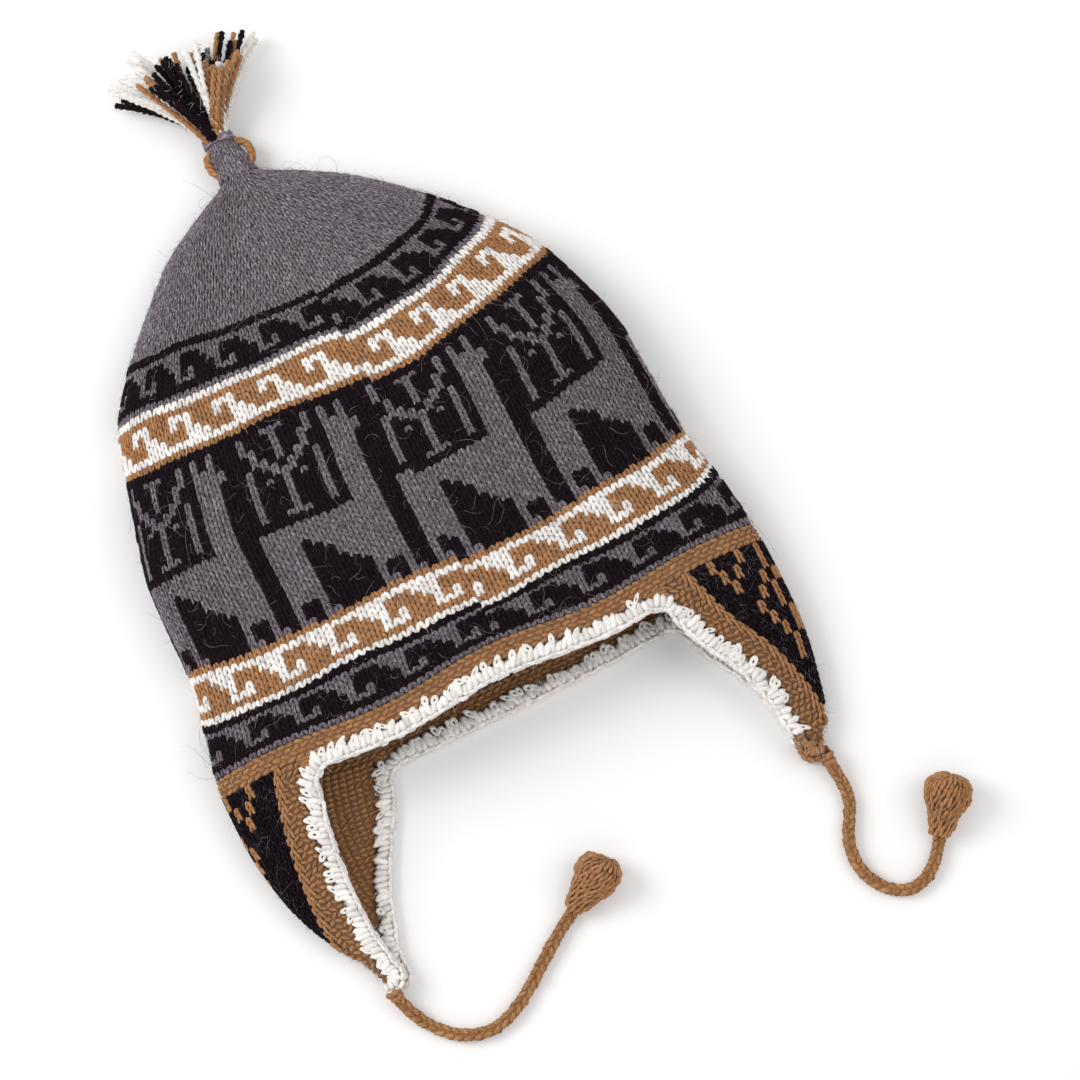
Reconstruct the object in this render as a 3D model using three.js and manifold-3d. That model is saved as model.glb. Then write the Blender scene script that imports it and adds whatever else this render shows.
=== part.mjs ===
// A knitted chullo hat, lying on its back with its front up: a hollow crown, a garter rim, two folded
// ear flaps, one crocheted edging round them all, two tie cords with bobbles, and a yarn tassel.
// Millimetres. +Y runs from the opening to the crown's tip, +Z is up, and the surface is at z = 0.

import * as THREE from "three";
import { mergeVertices } from "three/addons/utils/BufferGeometryUtils.js";
import Module from "manifold-3d";

// Driving dimensions
const WALL = 3.6; // stranded knitting, with the floats of the second yarn behind it
const SEAT = 0.3; // clearance between pieces that are sewn or crocheted together
const RIM_Y = -100; // lower edge of the crown at the side folds, 100 mm down from the origin
const TIP = 238; // length of the crown from that edge to the gathered tip
const BAND = 8; // width of the garter rim
const EDGING_RADIUS = 3.2; // crocheted edging
const CORD_DIAMETER = 5.6;
const TASSEL_LENGTH = 50;

// The sleeve of cloth that the crown, rim and flaps are parts of, as it lies. One row for each section
// across it: how far up from the rim, its reach to the left and right of the axis, the height of its
// upper layer, and the height at which its sides fold over.
const SLEEVE = [
  { along: -116, left: 93, right: 101, top: 15, fold: 6 },
  { along: -105.5, left: 98.5, right: 107, top: 16, fold: 6 },
  { along: -96, left: 102.5, right: 111.5, top: 17, fold: 6.5 },
  { along: -84, left: 110, right: 118.5, top: 21, fold: 7 },
  { along: -68, left: 118, right: 122.5, top: 26, fold: 7.5 },
  { along: -50, left: 123, right: 125.5, top: 32, fold: 8 },
  { along: -33, left: 125.5, right: 126.4, top: 38, fold: 9 },
  { along: -9, left: 126, right: 126, top: 43, fold: 10 },
  { along: 0, left: 125, right: 125, top: 45, fold: 10.5 },
  { along: 25, left: 119.5, right: 121.5, top: 50, fold: 11 },
  { along: 46, left: 116.3, right: 117, top: 54, fold: 12 },
  { along: 84, left: 115.3, right: 114.5, top: 57, fold: 12 },
  { along: 105, left: 111, right: 112.4, top: 57, fold: 12 },
  { along: 126, left: 105.6, right: 106, top: 55, fold: 12 },
  { along: 151, left: 98.9, right: 95.5, top: 50, fold: 11 },
  { along: 172, left: 85, right: 78.8, top: 43, fold: 10 },
  { along: 193, left: 66, right: 59, top: 34, fold: 9 },
  { along: 210, left: 48, right: 38.9, top: 26, fold: 8 },
  { along: 222, left: 28, right: 19, top: 19, fold: 7 },
  { along: 230, left: 14, right: 4.5, top: 15, fold: 6 },
  { along: 238, left: 12.5, right: 3, top: 13.5, fold: 6 },
];

// Edges of the flaps, as distances from the axis of the half that lies on top and the half underneath
const FLAPS = {
  left: [
    { along: -105.5, front: 94.2, back: 92 },
    { along: -96, front: 97, back: 93 },
    { along: -84, front: 99, back: 91 },
    { along: -68, front: 99.5, back: 86.5 },
    { along: -50, front: 98.5, back: 79 },
    { along: -33, front: 96, back: 70 },
    { along: -9, front: 90, back: 61 },
  ],
  right: [
    { along: -96, front: 106, back: 106 },
    { along: -84, front: 105, back: 105.5 },
    { along: -68, front: 102.5, back: 103.5 },
    { along: -50, front: 96, back: 98 },
    { along: -33, front: 86, back: 89 },
    { along: -9, front: 77, back: 80 },
  ],
};
const FLAP_TIP = { left: -105.5, right: -96 };

// How the rim runs: the upper layer's edge dips in the middle and waves, the under layer's trails
const FRONT_DIP = 4;
const FRONT_WAVE = 2.2;
const FRONT_WAVES = 2.5;
const BACK_TRAIL = 12;

// The value of one column of a table, on a smooth curve through its rows
function columnAt(table, column, along) {
  const last = table.length - 1;
  const next = table.findIndex((row) => row.along > along);
  const i = THREE.MathUtils.clamp(next < 0 ? last - 1 : next - 1, 0, last - 1);
  const slope = (k) => {
    const before = table[Math.max(k - 1, 0)];
    const after = table[Math.min(k + 1, last)];
    return (after[column] - before[column]) / (after.along - before.along);
  };
  const span = table[i + 1].along - table[i].along;
  const t = (along - table[i].along) / span;
  const rise = table[i + 1][column] - table[i][column];
  const bend = t * (1 - t);
  const ease = t * t * (3 - 2 * t);
  return table[i][column] + rise * ease + span * bend * (slope(i) * (1 - t) - slope(i + 1) * t);
}

// A section across the sleeve, halfway into its cloth, from the middle of its underside and once
// round: a flat stretch, a round side fold, the elliptic upper layer, and the other fold.
const sections = new Map();
function section(along) {
  const key = along.toFixed(4);
  if (sections.has(key)) return sections.get(key);
  const left = columnAt(SLEEVE, "left", along);
  const right = columnAt(SLEEVE, "right", along);
  const top = columnAt(SLEEVE, "top", along);
  const fold = columnAt(SLEEVE, "fold", along);
  const inset = WALL / 2;
  const centre = (right - left) / 2;
  const half = (left + right) / 2;
  const path = new THREE.Path();
  path.moveTo(centre, inset);
  path.lineTo(centre + half - fold, inset);
  path.absarc(centre + half - fold, fold, fold - inset, -Math.PI / 2, 0);
  path.absellipse(centre, fold, half - inset, top - fold - inset, 0, Math.PI);
  path.absarc(centre - half + fold, fold, fold - inset, Math.PI, 1.5 * Math.PI);
  path.lineTo(centre, inset);
  const length = path.getLength();
  const rightFold = (half - fold + ((fold - inset) * Math.PI) / 2) / length;
  const made = { path, length, centre, half, fold, rightFold, leftFold: 1 - rightFold };
  sections.set(key, made);
  return made;
}

// The direction out of the cloth, a share of the way round a section
function outOfCloth(around, along) {
  const tangent = section(along).path.getTangentAt(around);
  return new THREE.Vector3(tangent.y, 0, -tangent.x);
}

// A point of the sleeve: a share of the way round its section, how far along it, and how far out from
// the middle of its cloth
function sleevePoint(around, along, out) {
  const point = section(along).path.getPointAt(around);
  const middle = new THREE.Vector3(point.x, RIM_Y + along, point.y);
  return middle.addScaledVector(outOfCloth(around, along), out);
}

// How far the crown's lower edge lies from the rim line, a share of the way round
function rimEdge(around) {
  const { rightFold, leftFold } = section(0);
  if (around > rightFold && around < leftFold) {
    const across = (around - rightFold) / (leftFold - rightFold);
    const wave = FRONT_WAVE * Math.sin(2 * Math.PI * FRONT_WAVES * across);
    return Math.sin(Math.PI * across) * (wave - FRONT_DIP);
  }
  const away = Math.abs(around < 0.5 ? around : 1 - around) / rightFold;
  return -BACK_TRAIL * (1 - away ** 4) ** 2;
}

// The share of the way round where a section's upper or under layer lies at a given distance across
const HALVINGS = 24;
function aroundWhere(along, across, low, high) {
  const { path } = section(along);
  const rising = path.getPointAt(high).x > path.getPointAt(low).x;
  for (let halving = 0; halving < HALVINGS; halving++) {
    const middle = (low + high) / 2;
    if (path.getPointAt(middle).x < across === rising) low = middle;
    else high = middle;
  }
  return (low + high) / 2;
}

// Both edges of a flap at one section, as shares of the way round
function flapEdges(side, along) {
  const { leftFold, rightFold } = section(along);
  const front = columnAt(FLAPS[side], "front", along);
  const back = columnAt(FLAPS[side], "back", along);
  if (side === "left") {
    return {
      front: aroundWhere(along, -front, 0.5, leftFold),
      back: aroundWhere(along, -back, leftFold, 1),
    };
  }
  return {
    front: aroundWhere(along, front, rightFold, 0.5),
    back: aroundWhere(along, back, 0, rightFold),
  };
}

// Moves every vertex of a ready-made closed geometry to its place on the hat
const MERGE = 1e-4; // vertices nearer than this are one
function remap(geometry, place) {
  const position = geometry.getAttribute("position");
  const uv = geometry.getAttribute("uv");
  const from = new THREE.Vector3();
  for (let i = 0; i < position.count; i++) {
    from.fromBufferAttribute(position, i);
    const to = place(from, uv.getX(i), uv.getY(i));
    position.setXYZ(i, to.x, to.y, to.z);
  }
  geometry.deleteAttribute("normal");
  geometry.deleteAttribute("uv");
  const merged = mergeVertices(geometry, MERGE);
  merged.computeVertexNormals();
  return merged;
}

// Yarns
const yarn = (color) => new THREE.MeshStandardMaterial({ color, roughness: 0.95, metalness: 0 });
const GREY = yarn("#6e6a70");
const BLACK = yarn("#1e161c");
const CAMEL = yarn("#a57341");
const WHITE = yarn("#eee8e4");

const hat = new THREE.Group();
function add(name, geometry, material) {
  const mesh = new THREE.Mesh(geometry, material);
  mesh.name = name;
  hat.add(mesh);
}

// Crown: one closed wall, down its outer face from the tip to the rim and back up inside
const ROUND = 72;
const OUTER_ROWS = 16;
const INNER_ROWS = 11;
const INNER_TIP = TIP - 2 * WALL;
function crownGeometry() {
  const rows = OUTER_ROWS + INNER_ROWS + 1;
  return remap(new THREE.SphereGeometry(1, ROUND, rows), (from, u, v) => {
    const row = Math.round((1 - v) * rows);
    const outside = row <= OUTER_ROWS;
    const share = outside ? row / OUTER_ROWS : (rows - row) / INNER_ROWS;
    const tip = outside ? TIP : INNER_TIP;
    const out = outside ? WALL / 2 : -WALL / 2;
    if (share === 0) {
      const { centre, fold } = section(tip);
      return new THREE.Vector3(centre, RIM_Y + tip, fold);
    }
    const around = 1 - THREE.MathUtils.euclideanModulo(u, 1);
    const edge = rimEdge(around);
    return sleevePoint(around, edge + (tip - edge) * Math.cos((share * Math.PI) / 2), out);
  });
}
add("crown", crownGeometry(), GREY);

// Rim: a ring of garter stitch below the crown's edge
const RIM_SIDES = 4;
function rimGeometry() {
  return remap(new THREE.TorusGeometry(1, 0.5, RIM_SIDES, ROUND), (from, u, v) => {
    const corner = Math.round(v * RIM_SIDES) % RIM_SIDES;
    const low = corner === 1 || corner === 2;
    const inside = corner >= 2;
    const around = THREE.MathUtils.euclideanModulo(u, 1);
    const along = rimEdge(around) - SEAT - (low ? BAND : 0);
    return sleevePoint(around, along, inside ? -WALL / 2 : WALL / 2);
  });
}
add("rim_band", rimGeometry(), CAMEL);

// Ear flaps: sheets that hang from the rim and are folded where the hat's side folds
const FLAP_ACROSS = 16;
const FLAP_ROWS = 9;
const FLAP_TOP = -BAND - 2 * SEAT;
function flapGeometry(side) {
  const turn = side === "left" ? 1 : -1;
  const sheet = new THREE.BoxGeometry(1, 1, 1, FLAP_ACROSS, FLAP_ROWS, 1);
  return remap(sheet, (from) => {
    const down = 0.5 - from.y;
    const level = THREE.MathUtils.lerp(FLAP_TOP, FLAP_TIP[side], down);
    const edges = flapEdges(side, level);
    const around = THREE.MathUtils.lerp(edges.front, edges.back, 0.5 - turn * from.x);
    const along = level + rimEdge(around) * (1 - down);
    return sleevePoint(around, along, from.z * WALL);
  });
}
add("ear_flap_left", flapGeometry("left"), BLACK);
add("ear_flap_right", flapGeometry("right"), BLACK);

// Edging: one closed cord of crochet, just past the edge of the cloth all the way round
const EDGE_OUT = 2.2 * SEAT + EDGING_RADIUS;
const EDGING_STEPS = 132;
const EDGING_SIDES = 8;
const EDGING_REST = EDGING_RADIUS + 0.3; // lowest that its middle lies
const RIM_POINTS = 18;
const FLAP_POINTS = 8;
const TIP_POINTS = 3;
const TIP_TURN = 3; // points that turn each corner of a flap's tip
const CORNER_CLEAR = 0.016; // share of the way round that the turns at the flaps' tops take up
const downwards = new THREE.Vector3(0, -1, 0);
function edgePoint(around, along) {
  return sleevePoint(THREE.MathUtils.euclideanModulo(around, 1), along, 0);
}
function seated(point, outward) {
  point.addScaledVector(outward, EDGE_OUT);
  point.z = Math.max(point.z, EDGING_REST);
  return point;
}
function rimRun(from, to) {
  const points = [];
  for (let i = 0; i < RIM_POINTS; i++) {
    const around = THREE.MathUtils.lerp(from, to, i / (RIM_POINTS - 1));
    const edge = rimEdge(THREE.MathUtils.euclideanModulo(around, 1)) - BAND - SEAT;
    points.push(seated(edgePoint(around, edge), downwards));
  }
  return points;
}
function flapEdge(side, layer, down) {
  const level = THREE.MathUtils.lerp(FLAP_TOP, FLAP_TIP[side], down);
  const around = flapEdges(side, level)[layer];
  return { around, along: level + rimEdge(around) * (1 - down) };
}
function flapOutward(side, layer, down) {
  const step = 0.5 / FLAP_POINTS;
  const above = flapEdge(side, layer, down - step);
  const below = flapEdge(side, layer, Math.min(down + step, 1));
  const here = flapEdge(side, layer, down);
  const run = edgePoint(below.around, below.along).sub(edgePoint(above.around, above.along));
  const outward = run.cross(outOfCloth(here.around, here.along)).normalize();
  return (side === "left") === (layer === "front") ? outward.negate() : outward;
}
function flapRun(side, layer) {
  const points = [];
  for (let i = 1; i <= FLAP_POINTS; i++) {
    const { around, along } = flapEdge(side, layer, i / FLAP_POINTS);
    points.push(seated(edgePoint(around, along), flapOutward(side, layer, i / FLAP_POINTS)));
  }
  const corner = flapEdge(side, layer, 1);
  const sideways = flapOutward(side, layer, 1);
  for (let i = 1; i <= TIP_TURN; i++) {
    const angle = (i / TIP_TURN) * (Math.PI / 2);
    const outward = sideways.clone().multiplyScalar(Math.cos(angle));
    outward.addScaledVector(downwards, Math.sin(angle));
    points.push(seated(edgePoint(corner.around, corner.along), outward));
  }
  return points;
}
function tipRun(side) {
  const { front, back } = flapEdges(side, FLAP_TIP[side]);
  const points = [];
  for (let i = 1; i <= TIP_POINTS; i++) {
    const around = THREE.MathUtils.lerp(front, back, i / (TIP_POINTS + 1));
    points.push(seated(edgePoint(around, FLAP_TIP[side]), downwards));
  }
  return points;
}
function edgingCurve() {
  const leftTop = flapEdges("left", FLAP_TOP);
  const rightTop = flapEdges("right", FLAP_TOP);
  const points = [
    ...rimRun(rightTop.front + CORNER_CLEAR, leftTop.front - CORNER_CLEAR),
    ...flapRun("left", "front"),
    ...tipRun("left"),
    ...flapRun("left", "back").reverse(),
    ...rimRun(leftTop.back + CORNER_CLEAR, 1 + rightTop.back - CORNER_CLEAR),
    ...flapRun("right", "back"),
    ...tipRun("right").reverse(),
    ...flapRun("right", "front").reverse(),
  ];
  return new THREE.CatmullRomCurve3(points, true);
}
function edgingGeometry() {
  const curve = edgingCurve();
  const frames = curve.computeFrenetFrames(EDGING_STEPS, true);
  const ring = new THREE.TorusGeometry(1, 0.5, EDGING_SIDES, EDGING_STEPS);
  return remap(ring, (from, u, v) => {
    const step = Math.round(u * EDGING_STEPS) % EDGING_STEPS;
    const angle = -2 * Math.PI * v;
    return curve
      .getPointAt(step / EDGING_STEPS)
      .addScaledVector(frames.normals[step], EDGING_RADIUS * Math.cos(angle))
      .addScaledVector(frames.binormals[step], EDGING_RADIUS * Math.sin(angle));
  });
}
add("crochet_edging", edgingGeometry(), WHITE);

// Tie cords: their routes on the surface, from the tips of the flaps to the bobbles
const CORD_REST = CORD_DIAMETER / 2 + 0.05; // height of its middle above the surface
const CORD_ROUTES = {
  left: [
    [-95.9, -213.5, 6.2],
    [-94.8, -217.8, 5.2],
    [-92.9, -222.2, 4.0],
    [-90.4, -226.8, CORD_REST],
    [-86.4, -232.4, CORD_REST],
    [-80.6, -237.8, CORD_REST],
    [-73.4, -241.6, CORD_REST],
    [-66.0, -242.8, CORD_REST],
    [-59.2, -241.6, CORD_REST],
    [-52.3, -238.8, CORD_REST],
    [-45.7, -234.9, CORD_REST],
    [-39.5, -230.4, CORD_REST],
    [-33.0, -225.6, CORD_REST],
    [-26.5, -220.9, CORD_REST],
    [-20.4, -216.8, CORD_REST],
    [-14.5, -213.4, CORD_REST],
  ],
  right: [
    [109.5, -203.9, 6.5],
    [110.0, -208.0, 5.4],
    [110.7, -212.6, 4.0],
    [110.9, -216.8, CORD_REST],
    [110.4, -221.0, CORD_REST],
    [108.8, -225.6, CORD_REST],
    [106.0, -230.2, CORD_REST],
    [103.4, -235.2, CORD_REST],
    [101.6, -241.2, CORD_REST],
    [101.2, -247.4, CORD_REST],
    [102.6, -253.6, CORD_REST],
    [105.8, -259.4, CORD_REST],
    [110.6, -264.2, CORD_REST],
    [116.6, -266.6, CORD_REST],
    [122.8, -266.0, CORD_REST],
    [128.4, -262.8, CORD_REST],
    [133.2, -258.0, CORD_REST],
    [137.2, -252.6, CORD_REST],
  ],
};
const CORD_SIDES = 10;
const CORD_STEP = 2.2 * CORD_DIAMETER;
function cordCurve(side) {
  return new THREE.CatmullRomCurve3(CORD_ROUTES[side].map((point) => new THREE.Vector3(...point)));
}
function roundSection(radius, sides) {
  const corners = [];
  for (let i = 0; i < sides; i++) {
    const angle = (2 * Math.PI * i) / sides;
    corners.push(new THREE.Vector2(radius * Math.cos(angle), radius * Math.sin(angle)));
  }
  return new THREE.Shape(corners);
}
function tube(curve, radius, sides, steps) {
  return new THREE.ExtrudeGeometry(roundSection(radius, sides), { steps, extrudePath: curve });
}
for (const side of ["left", "right"]) {
  const curve = cordCurve(side);
  const steps = Math.round(curve.getLength() / CORD_STEP);
  add(`tie_cord_${side}`, tube(curve, CORD_DIAMETER / 2, CORD_SIDES, steps), CAMEL);
}

// Bobbles: bells of crochet that widen from the cord's end, lying on their sides
const KNOBS = { left: { length: 25, radius: 9.6 }, right: { length: 25, radius: 10 } };
const KNOB_SIDES = 12;
const KNOB_REST = 0.5; // clearance of the crochet's faces under the belly
const KNOB_PROFILE = [
  { up: 0, out: 0 },
  { up: 0, out: 0.42 },
  { up: 0.3, out: 0.6 },
  { up: 0.62, out: 0.94 },
  { up: 0.8, out: 1 },
  { up: 0.94, out: 0.82 },
  { up: 1, out: 0.45 },
  { up: 1, out: 0 },
];
function knobGeometry({ length, radius }) {
  const profile = KNOB_PROFILE.map(({ up, out }) => new THREE.Vector2(out * radius, up * length));
  return new THREE.LatheGeometry(profile, KNOB_SIDES);
}
for (const side of ["left", "right"]) {
  const curve = cordCurve(side);
  const heading = curve.getTangentAt(1);
  const end = curve.getPointAt(1);
  const { length, radius } = KNOBS[side];
  const neck = KNOB_PROFILE[1].out * radius;
  const belly = KNOB_PROFILE[4];
  const climb = Math.asin((radius - neck) / (belly.up * length));
  const axis = new THREE.Vector3(heading.x, heading.y, 0).setLength(Math.cos(climb));
  axis.z = Math.sin(climb);
  const knob = new THREE.Mesh(knobGeometry(KNOBS[side]), CAMEL);
  knob.name = `tie_knob_${side}`;
  knob.quaternion.setFromUnitVectors(new THREE.Vector3(0, 1, 0), axis);
  const height = neck * Math.cos(climb) + KNOB_REST;
  const cordTop = CORD_REST + CORD_DIAMETER / 2;
  knob.position.copy(end);
  knob.position.addScaledVector(heading, SEAT + (cordTop - height) * Math.tan(climb));
  knob.position.z = height;
  hat.add(knob);
}

// Tassel: locks of yarn that fan out from a bound head at the crown's tip, fused into one solid
const tip = section(TIP);
const TASSEL_HEAD = { x: tip.centre, y: RIM_Y + TIP + SEAT, z: 7.4, radius: 6.2, taper: 0.9, length: 9 };
const HEAD_SIDES = 12;
const TASSEL_LEAN = 0.1; // the whole fan leans to the right of the axis, in radians
const LOCK_ROUND = 6;
// One row for each layer of the fan, from the surface up: how many locks, how far they spread to
// each side and rise, in radians, and their length as a share of the tassel's
const FAN = [
  { locks: 7, spread: 0.74, rise: -0.02, length: 0.94 },
  { locks: 6, spread: 0.62, rise: 0.2, length: 1 },
  { locks: 4, spread: 0.42, rise: 0.46, length: 0.92 },
];
const LOCK_RADIUS = 3.2;
const LOCK_START = 5.3; // height of the point that the locks fan out from
const LOCK_PROFILE = [
  { up: 0, out: 0 },
  { up: 0, out: 0.75 },
  { up: 0.35, out: 0.9 },
  { up: 0.75, out: 1 },
  { up: 1, out: 0.6 },
  { up: 1, out: 0 },
];
const wasm = await Module();
wasm.setup();
function toSolid(geometry) {
  geometry.deleteAttribute("normal");
  geometry.deleteAttribute("uv");
  const merged = mergeVertices(geometry, MERGE);
  const vertProperties = new Float32Array(merged.getAttribute("position").array);
  const triVerts = new Uint32Array(merged.index.array);
  return new wasm.Manifold(new wasm.Mesh({ numProp: 3, vertProperties, triVerts }));
}
function toGeometry(solid) {
  const mesh = solid.getMesh();
  const geometry = new THREE.BufferGeometry();
  geometry.setAttribute("position", new THREE.BufferAttribute(mesh.vertProperties, 3));
  geometry.setIndex(new THREE.BufferAttribute(mesh.triVerts, 1));
  geometry.computeVertexNormals();
  return geometry;
}
function lockGeometry(sideways, rise, length) {
  const profile = LOCK_PROFILE.map(({ up, out }) => new THREE.Vector2(out * LOCK_RADIUS, up * length));
  const lock = new THREE.LatheGeometry(profile, LOCK_ROUND);
  const heading = new THREE.Vector3(
    Math.sin(sideways) * Math.cos(rise),
    Math.cos(sideways) * Math.cos(rise),
    Math.sin(rise),
  );
  lock.applyQuaternion(new THREE.Quaternion().setFromUnitVectors(new THREE.Vector3(0, 1, 0), heading));
  lock.translate(TASSEL_HEAD.x, TASSEL_HEAD.y + TASSEL_HEAD.length / 2, LOCK_START);
  return lock;
}
function tasselGeometry() {
  const head = new THREE.CylinderGeometry(
    TASSEL_HEAD.radius,
    TASSEL_HEAD.radius * TASSEL_HEAD.taper,
    TASSEL_HEAD.length,
    HEAD_SIDES,
  );
  head.translate(TASSEL_HEAD.x, TASSEL_HEAD.y + TASSEL_HEAD.length / 2, TASSEL_HEAD.z);
  let solid = toSolid(head);
  for (const { locks, spread, rise, length } of FAN) {
    for (let i = 0; i < locks; i++) {
      const sideways = TASSEL_LEAN + spread * ((2 * i) / (locks - 1) - 1);
      solid = solid.add(toSolid(lockGeometry(sideways, rise, length * TASSEL_LENGTH)));
    }
  }
  return toGeometry(solid);
}
add("tassel", tasselGeometry(), GREY);

// Sewing loops: twisted yarn that holds the tassel's head to the tip, one at each side
const LOOP_RADIUS = 1.9;
const LOOP_SIDES = 8;
const LOOP_STEPS = 7;
const LOOP_REACH = 2.4; // how far a loop stands out from the tip
const LOOP_BELOW = 5; // how far down the crown it starts
const LOOP_LENGTH = 13;
function loopCurve(turn) {
  const seat = section(TIP - LOOP_BELOW);
  const across = seat.half + LOOP_RADIUS + SEAT;
  const points = [0, 0.25, 0.5, 0.75, 1].map((share) => {
    const bow = LOOP_REACH * 4 * share * (1 - share);
    return new THREE.Vector3(
      seat.centre + turn * (across + bow),
      RIM_Y + TIP - LOOP_BELOW + share * LOOP_LENGTH,
      seat.fold + 1,
    );
  });
  return new THREE.CatmullRomCurve3(points);
}
add("tassel_loop_left", tube(loopCurve(-1), LOOP_RADIUS, LOOP_SIDES, LOOP_STEPS), CAMEL);
add("tassel_loop_right", tube(loopCurve(1), LOOP_RADIUS, LOOP_SIDES, LOOP_STEPS), CAMEL);

export default hat;
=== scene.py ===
import math
import bmesh
import bpy
import numpy as np
from mathutils import Matrix, Vector


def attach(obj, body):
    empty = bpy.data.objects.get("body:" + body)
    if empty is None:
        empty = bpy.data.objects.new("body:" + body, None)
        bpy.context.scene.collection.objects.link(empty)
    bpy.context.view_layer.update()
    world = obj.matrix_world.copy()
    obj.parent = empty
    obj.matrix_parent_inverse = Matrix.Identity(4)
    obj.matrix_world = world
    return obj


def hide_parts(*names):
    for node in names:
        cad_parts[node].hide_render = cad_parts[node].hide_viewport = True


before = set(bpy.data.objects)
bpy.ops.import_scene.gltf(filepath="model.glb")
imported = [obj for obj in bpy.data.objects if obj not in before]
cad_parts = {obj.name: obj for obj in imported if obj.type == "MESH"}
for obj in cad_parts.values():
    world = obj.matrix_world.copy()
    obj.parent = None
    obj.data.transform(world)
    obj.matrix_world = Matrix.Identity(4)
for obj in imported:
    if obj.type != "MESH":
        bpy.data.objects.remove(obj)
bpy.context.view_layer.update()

# Stage: a plain white table under soft studio light, seen from almost straight above.
# A large lamp stands at the upper left, so soft shadows fall to the lower right.
MM = 0.001
AIM = Vector((41.4, -67.7, 14)) * MM
FROM = Vector((-0.0761, -0.1561, 0.9848))
DISTANCE = 2.0
LENS = 158.5
scene = bpy.context.scene
scene.view_settings.view_transform = "Standard"


def linear(code):
    channels = [int(code[i:i + 2], 16) / 255 for i in (1, 3, 5)]
    values = [c / 12.92 if c <= 0.04045 else ((c + 0.055) / 1.055) ** 2.4 for c in channels]
    return (*values, 1.0)


def node(tree, kind, settings=(), links=()):
    made = tree.nodes.new(kind)
    for name, value in dict(settings).items():
        if name in made.inputs:
            made.inputs[name].default_value = value
        else:
            setattr(made, name, value)
    for name, source in dict(links).items():
        tree.links.new(source, made.inputs[name])
    return made


def new_material(name, settings):
    material = bpy.data.materials.new(name)
    material.use_nodes = True
    shader = material.node_tree.nodes["Principled BSDF"]
    for setting, value in settings.items():
        shader.inputs[setting].default_value = value
    return material, material.node_tree, shader


def placed(name, data):
    thing = bpy.data.objects.new(name, data)
    scene.collection.objects.link(thing)
    return thing


camera = placed("camera", bpy.data.cameras.new("camera"))
camera.location = AIM + FROM * DISTANCE
camera.rotation_euler = (-FROM).to_track_quat("-Z", "Y").to_euler()
camera.data.lens = LENS
scene.camera = camera

bm = bmesh.new()
bmesh.ops.create_grid(bm, x_segments=2, y_segments=2, size=3.0)
floor_mesh = bpy.data.meshes.new("table")
bm.to_mesh(floor_mesh)
bm.free()
floor = placed("table", floor_mesh)
# White paint, rolled matt: it gives an even pale ground
paint = new_material("matt white paint", {"Base Color": linear("#f6f6f6"), "Roughness": 0.9})[0]
floor_mesh.materials.append(paint)

world = bpy.data.worlds.new("studio")
world.use_nodes = True
world.node_tree.nodes["Background"].inputs["Color"].default_value = linear("#ffffff")
world.node_tree.nodes["Background"].inputs["Strength"].default_value = 0.78
scene.world = world


def soft_lamp(name, place, size, power):
    lamp = bpy.data.lights.new(name, "AREA")
    lamp.size = size
    lamp.energy = power
    thing = placed(name, lamp)
    thing.location = place
    thing.rotation_euler = (AIM - Vector(place)).to_track_quat("-Z", "Y").to_euler()


soft_lamp("key lamp", (-1.1, 0.75, 1.25), 1.0, 17)
soft_lamp("fill lamp", (1.2, -0.6, 1.6), 1.2, 6)

# Crown: the knitted body, a closed bag that lies flat on its back with its front bulging up.
# Its cloth is one sleeve, given by the half widths, the height and the fold at each level in mm.
WALL = 3.6
RIM_Y = -100.0
TIP = 238.0
SLEEVE = np.array([
    (-116, 93, 101, 15, 6), (-105.5, 98.5, 107, 16, 6), (-96, 102.5, 111.5, 17, 6.5),
    (-84, 110, 118.5, 21, 7), (-68, 118, 122.5, 26, 7.5), (-50, 123, 125.5, 32, 8),
    (-33, 125.5, 126.4, 38, 9), (-9, 126, 126, 43, 10), (0, 125, 125, 45, 10.5),
    (25, 119.5, 121.5, 50, 11), (46, 116.3, 117, 54, 12), (84, 115.3, 114.5, 57, 12),
    (105, 111, 112.4, 57, 12), (126, 105.6, 106, 55, 12), (151, 98.9, 95.5, 50, 11),
    (172, 85, 78.8, 43, 10), (193, 66, 59, 34, 9), (210, 48, 38.9, 26, 8),
    (222, 28, 19, 19, 7), (230, 14, 4.5, 15, 6), (238, 12.5, 3, 13.5, 6),
])
LEVELS = np.arange(-116, 238.5, 1.0)
ROUND_STEPS = 720


def smooth_column(table, column, along):
    at, value = table[:, 0], table[:, column]
    slope = np.empty(len(at))
    slope[1:-1] = (value[2:] - value[:-2]) / (at[2:] - at[:-2])
    slope[0] = (value[1] - value[0]) / (at[1] - at[0])
    slope[-1] = (value[-1] - value[-2]) / (at[-1] - at[-2])
    along = np.clip(along, at[0], at[-1])
    i = np.clip(np.searchsorted(at, along, "right") - 1, 0, len(at) - 2)
    span = at[i + 1] - at[i]
    t = (along - at[i]) / span
    rise = value[i + 1] - value[i]
    bow = span * t * (1 - t) * (slope[i] * (1 - t) - slope[i + 1] * t)
    return value[i] + rise * t * t * (3 - 2 * t) + bow


def reaches(points):
    """How far along a line each of its points lies."""
    return np.concatenate([[0], np.cumsum(np.linalg.norm(np.diff(points, axis=0), axis=1))])


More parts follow.
